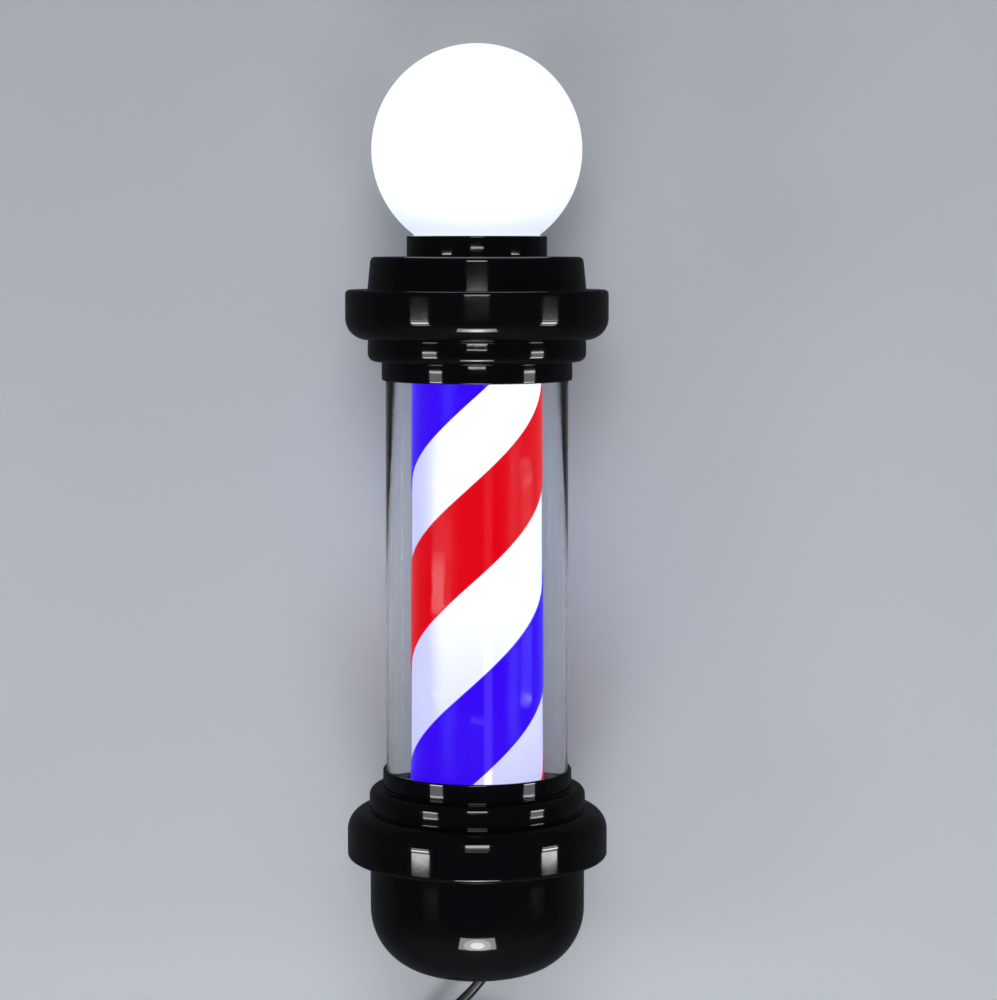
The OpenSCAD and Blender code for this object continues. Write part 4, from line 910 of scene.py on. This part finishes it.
def film_band_tree():
    """Band of film that climbs a sleeve: its lower edge passes the front at height Low."""
    tree, given, result = geometry_tree("Film band", {
        "Radius": "NodeSocketFloat", "Thickness": "NodeSocketFloat", "Pitch": "NodeSocketFloat",
        "Low": "NodeSocketFloat", "Rise": "NodeSocketFloat", "End": "NodeSocketFloat",
        "Axis Depth": "NodeSocketFloat", "Finish": "NodeSocketMaterial"})
    size = given.outputs
    grid = add(tree, "GeometryNodeMeshGrid", {
        "Size X": 1.0, "Size Y": 1.0, "Vertices X": 40, "Vertices Y": 240})
    part = add(tree, "ShaderNodeSeparateXYZ", {0: add(tree, "GeometryNodeInputPosition").outputs[0]})
    across = math_node(tree, "ADD", part.outputs["X"], 0.5)
    height = math_node(tree, "MULTIPLY", math_node(tree, "MULTIPLY", part.outputs["Y"], 2.0),
                       size["End"])
    climb = math_node(tree, "DIVIDE", math_node(tree, "SUBTRACT", height, size["Low"]), size["Pitch"])
    width = math_node(tree, "DIVIDE", size["Rise"], size["Pitch"])
    back = math_node(tree, "MULTIPLY", width, math_node(tree, "SUBTRACT", 1.0, across))
    turns = math_node(tree, "ADD", math_node(tree, "SUBTRACT", climb, back), 0.75)
    angle = math_node(tree, "MULTIPLY", turns, 2 * math.pi)
    out_x, out_y = math_node(tree, "COSINE", angle), math_node(tree, "SINE", angle)
    place = add(tree, "ShaderNodeCombineXYZ", {
        "X": math_node(tree, "MULTIPLY", out_x, size["Radius"]),
        "Y": math_node(tree, "ADD", math_node(tree, "MULTIPLY", out_y, size["Radius"]),
                       size["Axis Depth"]),
        "Z": height})
    outward = add(tree, "ShaderNodeCombineXYZ", {"X": out_x, "Y": out_y})
    marked = add(tree, "GeometryNodeStoreNamedAttribute", {
        "Geometry": grid.outputs["Mesh"], "Name": "outward", "Value": outward.outputs[0]},
        data_type="FLOAT_VECTOR", domain="POINT")
    wrapped = add(tree, "GeometryNodeSetPosition", {
        "Geometry": marked.outputs[0], "Position": place.outputs[0]})
    direction = add(tree, "GeometryNodeInputNamedAttribute", {"Name": "outward"},
                    data_type="FLOAT_VECTOR")
    raised = add(tree, "GeometryNodeExtrudeMesh", {
        "Mesh": wrapped.outputs[0], "Offset": direction.outputs[0],
        "Offset Scale": size["Thickness"], "Individual": False})
    underside = add(tree, "GeometryNodeFlipFaces", {"Mesh": wrapped.outputs[0]})
    both = add(tree, "GeometryNodeJoinGeometry")
    tree.links.new(raised.outputs[0], both.inputs[0])
    tree.links.new(underside.outputs[0], both.inputs[0])
    closed = add(tree, "GeometryNodeMergeByDistance", {"Geometry": both.outputs[0], "Distance": 1e-6})
    bare = add(tree, "GeometryNodeRemoveAttribute", {"Geometry": closed.outputs[0], "Name": "outward"})
    finish_tree(tree, bare.outputs[0], given, result)
    return tree


BAND = film_band_tree()
FILM_FOOT_R = SLEEVE_R + FILM_LIFT
BLUE_LOW = RED_LOW + RED_RISE + WHITE_RISE
for name, node, low, rise, finish in (
        ("red_band", "red_stripe", RED_LOW, RED_RISE, FILM_RED),
        ("blue_band", "blue_stripe", BLUE_LOW, BLUE_RISE, FILM_BLUE)):
    band = grown(name, BAND, {
        "Radius": FILM_FOOT_R * MM, "Thickness": (FILM_R - FILM_FOOT_R) * MM,
        "Pitch": STRIPE_PITCH * MM, "Low": low * MM, "Rise": rise * MM,
        "End": (SLEEVE_END - 0.05) * MM, "Axis Depth": AXIS_Y, "Finish": finish})
    fit(link(name, band), "striped_cylinder", finish, (node,))


# ---------- switch marks ----------

MARK_OUT, MARK_RISE = 3.9, 1.9


def mark_place(side, slope):
    """Middle of a rocker's slope, which is -1 on its left and 1 on its right, with Z outwards."""
    pivot = Matrix.Translation(Vector((side * ROCKER_X, ROCKER_Y, ROCKER_Z)) * MM)
    swing = Matrix.Rotation(math.radians(-ROCKER_TILT), 4, "Z")
    lean = Matrix.Rotation(math.radians(slope * ROCKER_TILT), 4, "Z")
    middle = Matrix.Translation(Vector((slope * MARK_OUT, MARK_RISE, 0)) * MM)
    return pivot @ swing @ middle @ lean @ Matrix.Rotation(-math.pi / 2, 4, "X")


def rocker_marks(side):
    """On and off marks, a bar and a ring, on the two slopes of a rocker."""
    low, high = -0.2, 0.12
    bar = slab("bar", rounded([(-0.35, -1.8, 0.3), (0.35, -1.8, 0.3), (0.35, 1.8, 0.3),
                               (-0.35, 1.8, 0.3)], 30), low, high, mark_place(side, -1))
    ring = turned("ring", [(1.15, low), (1.7, low), (1.7, high), (1.15, high)],
                  mark_place(side, 1), 40)
    return joined("marks", [bar, ring])


for name, side in (("light_rocker", -1), ("motor_rocker", 1)):
    fit(link(name + "_marks", rocker_marks(side)), name, MARK_WHITE)


# ---------- wall, floor, lamps ----------

WALL_W, WALL_TOP, FLOOR_W, FLOOR_Z = 4.8, 2.2, 8, -1.35
CARD_SHARE = 0.88


def dimmed_in_gloss(tree, shader):
    """Takes a share of a surface's light out of what gloss reflects of it, as black cards would."""
    path = add(tree, "ShaderNodeLightPath")
    reflected = math_node(tree, "SUBTRACT", path.outputs["Is Glossy Ray"],
                          path.outputs["Is Transmission Ray"])
    factor = math_node(tree, "MULTIPLY", math_node(tree, "MAXIMUM", reflected, 0.0), CARD_SHARE)
    card = add(tree, "ShaderNodeBsdfDiffuse", {"Color": (0.0, 0.0, 0.0, 1.0)})
    return add(tree, "ShaderNodeMixShader", {0: factor, 1: shader, 2: card.outputs[0]}).outputs[0]


def stage_paint(name, colour, rough):
    """Plain paint that only shows from its front, so no view of the pole is blocked."""
    material, tree, shader = new_material(name)
    shader.inputs["Base Color"].default_value = rgba(colour)
    shader.inputs["Roughness"].default_value = rough
    gone = add(tree, "ShaderNodeBsdfTransparent")
    path = add(tree, "ShaderNodeLightPath")
    face = add(tree, "ShaderNodeNewGeometry")
    through_it = math_node(tree, "MAXIMUM", face.outputs["Backfacing"],
                           path.outputs["Is Shadow Ray"])
    mixed = add(tree, "ShaderNodeMixShader", {
        0: through_it, 1: dimmed_in_gloss(tree, shader.outputs[0]), 2: gone.outputs[0]})
    tree.links.new(mixed.outputs[0], tree.nodes["Material Output"].inputs["Surface"])
    return material


def add_stage():
    """Painted wall behind the pole and floor far below it."""
    side, far = WALL_W / 2, FLOOR_W / 2
    wall = mesh_of("wall", [(-side, 0, FLOOR_Z), (side, 0, FLOOR_Z), (side, 0, WALL_TOP),
                            (-side, 0, WALL_TOP)], [(0, 1, 2, 3)])
    wall.materials.append(stage_paint("wall_paint", (0.34, 0.36, 0.39), 0.9))
    floor = mesh_of("floor", [(-far, -far, FLOOR_Z), (far, -far, FLOOR_Z), (far, far, FLOOR_Z),
                              (-far, far, FLOOR_Z)], [(0, 1, 2, 3)])
    floor.materials.append(stage_paint("floor_paint", (0.62, 0.63, 0.65), 0.8))
    link("wall", wall)
    link("floor", floor)


def area_lamp(name, size, radiance, mirrored, shape="RECTANGLE"):
    """Area lamp that faces down, hidden from the camera and, unless mirrored, from gloss."""
    lamp = bpy.data.lights.new(name, "AREA")
    lamp.shape = shape
    lamp.size, lamp.size_y = size
    filled = 1 if shape == "RECTANGLE" else math.pi / 4
    lamp.energy = radiance * math.pi * lamp.size * lamp.size_y * filled
    holder = bpy.data.objects.new(name, lamp)
    holder.visible_camera = False
    holder.visible_glossy = mirrored
    bpy.context.scene.collection.objects.link(holder)
    return holder


def add_lamp(name, azimuth, elevation, distance, size, radiance, aim=0.0, mirrored=True,
             shape="RECTANGLE"):
    """Softbox seen from the pole at an azimuth and elevation, turned to height aim on it."""
    sides = [2 * distance * math.tan(math.radians(angle) / 2) for angle in size]
    holder = area_lamp(name, sides, radiance, mirrored, shape)
    turn, lift = math.radians(azimuth), math.radians(elevation)
    away = Vector((math.sin(turn) * math.cos(lift), -math.cos(turn) * math.cos(lift),
                   math.sin(lift)))
    holder.location = Vector((0, AXIS_Y, aim)) + distance * away
    holder.rotation_euler = away.to_track_quat("Z", "Y").to_euler()


def add_floor_wash():
    """Lights the floor alone, from a low ceiling of light."""
    area_lamp("floor_wash", (8.0, 7.0), 0.6, False).location = (0, -0.6, -0.75)


def add_world():
    """Dim room light, with a pale backdrop that only the camera sees."""
    world = bpy.data.worlds.new("room")
    world.use_nodes = True
    tree = world.node_tree
    path = add(tree, "ShaderNodeLightPath")
    room = tree.nodes["Background"]
    room.inputs["Color"].default_value = (0.8, 0.84, 0.92, 1.0)
    room.inputs["Strength"].default_value = 0.05
    seen = add(tree, "ShaderNodeBackground", {"Color": (0.72, 0.74, 0.78, 1.0), "Strength": 1.0})
    mixed = add(tree, "ShaderNodeMixShader", {
        0: path.outputs["Is Camera Ray"], 1: room.outputs[0], 2: seen.outputs[0]})
    tree.links.new(mixed.outputs[0], tree.nodes["World Output"].inputs["Surface"])
    bpy.context.scene.world = world


add_stage()
add_world()
add_floor_wash()
# Width and height of a lamp are angles, as the pole sees it.
for side, azimuth, width in (("left", -50, 16), ("right", 65, 15)):
    add_lamp(side + "_window", azimuth, -7.1, 2.4, (width, 20.4), 2.6)
    add_lamp(side + "_window_pane", azimuth, -7.2, 2.39, (width, 4.6), 17.0)
    add_lamp(side + "_window_head", azimuth, 2.4, 2.39, (width, 0.9), 12.0)
    add_lamp(side + "_window_sill", azimuth, -17.0, 2.39, (width, 0.6), 14.0)
add_lamp("door_light", 0, 4.65, 2.8, (20, 0.5), 18.0)
add_lamp("wall_lamp", 0, 10.8, 2.8, (21, 3.4), 3.6, 0.25)
add_lamp("ceiling_lamp", 0, 27, 2.8, (20, 16), 10.0, 0.25)
add_lamp("floor_lamp", 0, -38, 1.45, (34, 26), 6.0, -0.28)
add_lamp("floor_lamp_glow", 0, -38, 1.44, (25, 23), 4.0, -0.28, shape="ELLIPSE")
add_lamp("floor_lamp_bulb", 0, -38, 1.43, (13, 12), 9.0, -0.28, shape="ELLIPSE")
add_lamp("room_light", 0, 30, 3.6, (60, 50), 0.8, 0.0, mirrored=False)
add_lamp("back_light", 180, 10, 2.4, (60, 60), 3.0, 0.0, mirrored=False)

bpy.context.scene.view_settings.view_transform = "Standard"
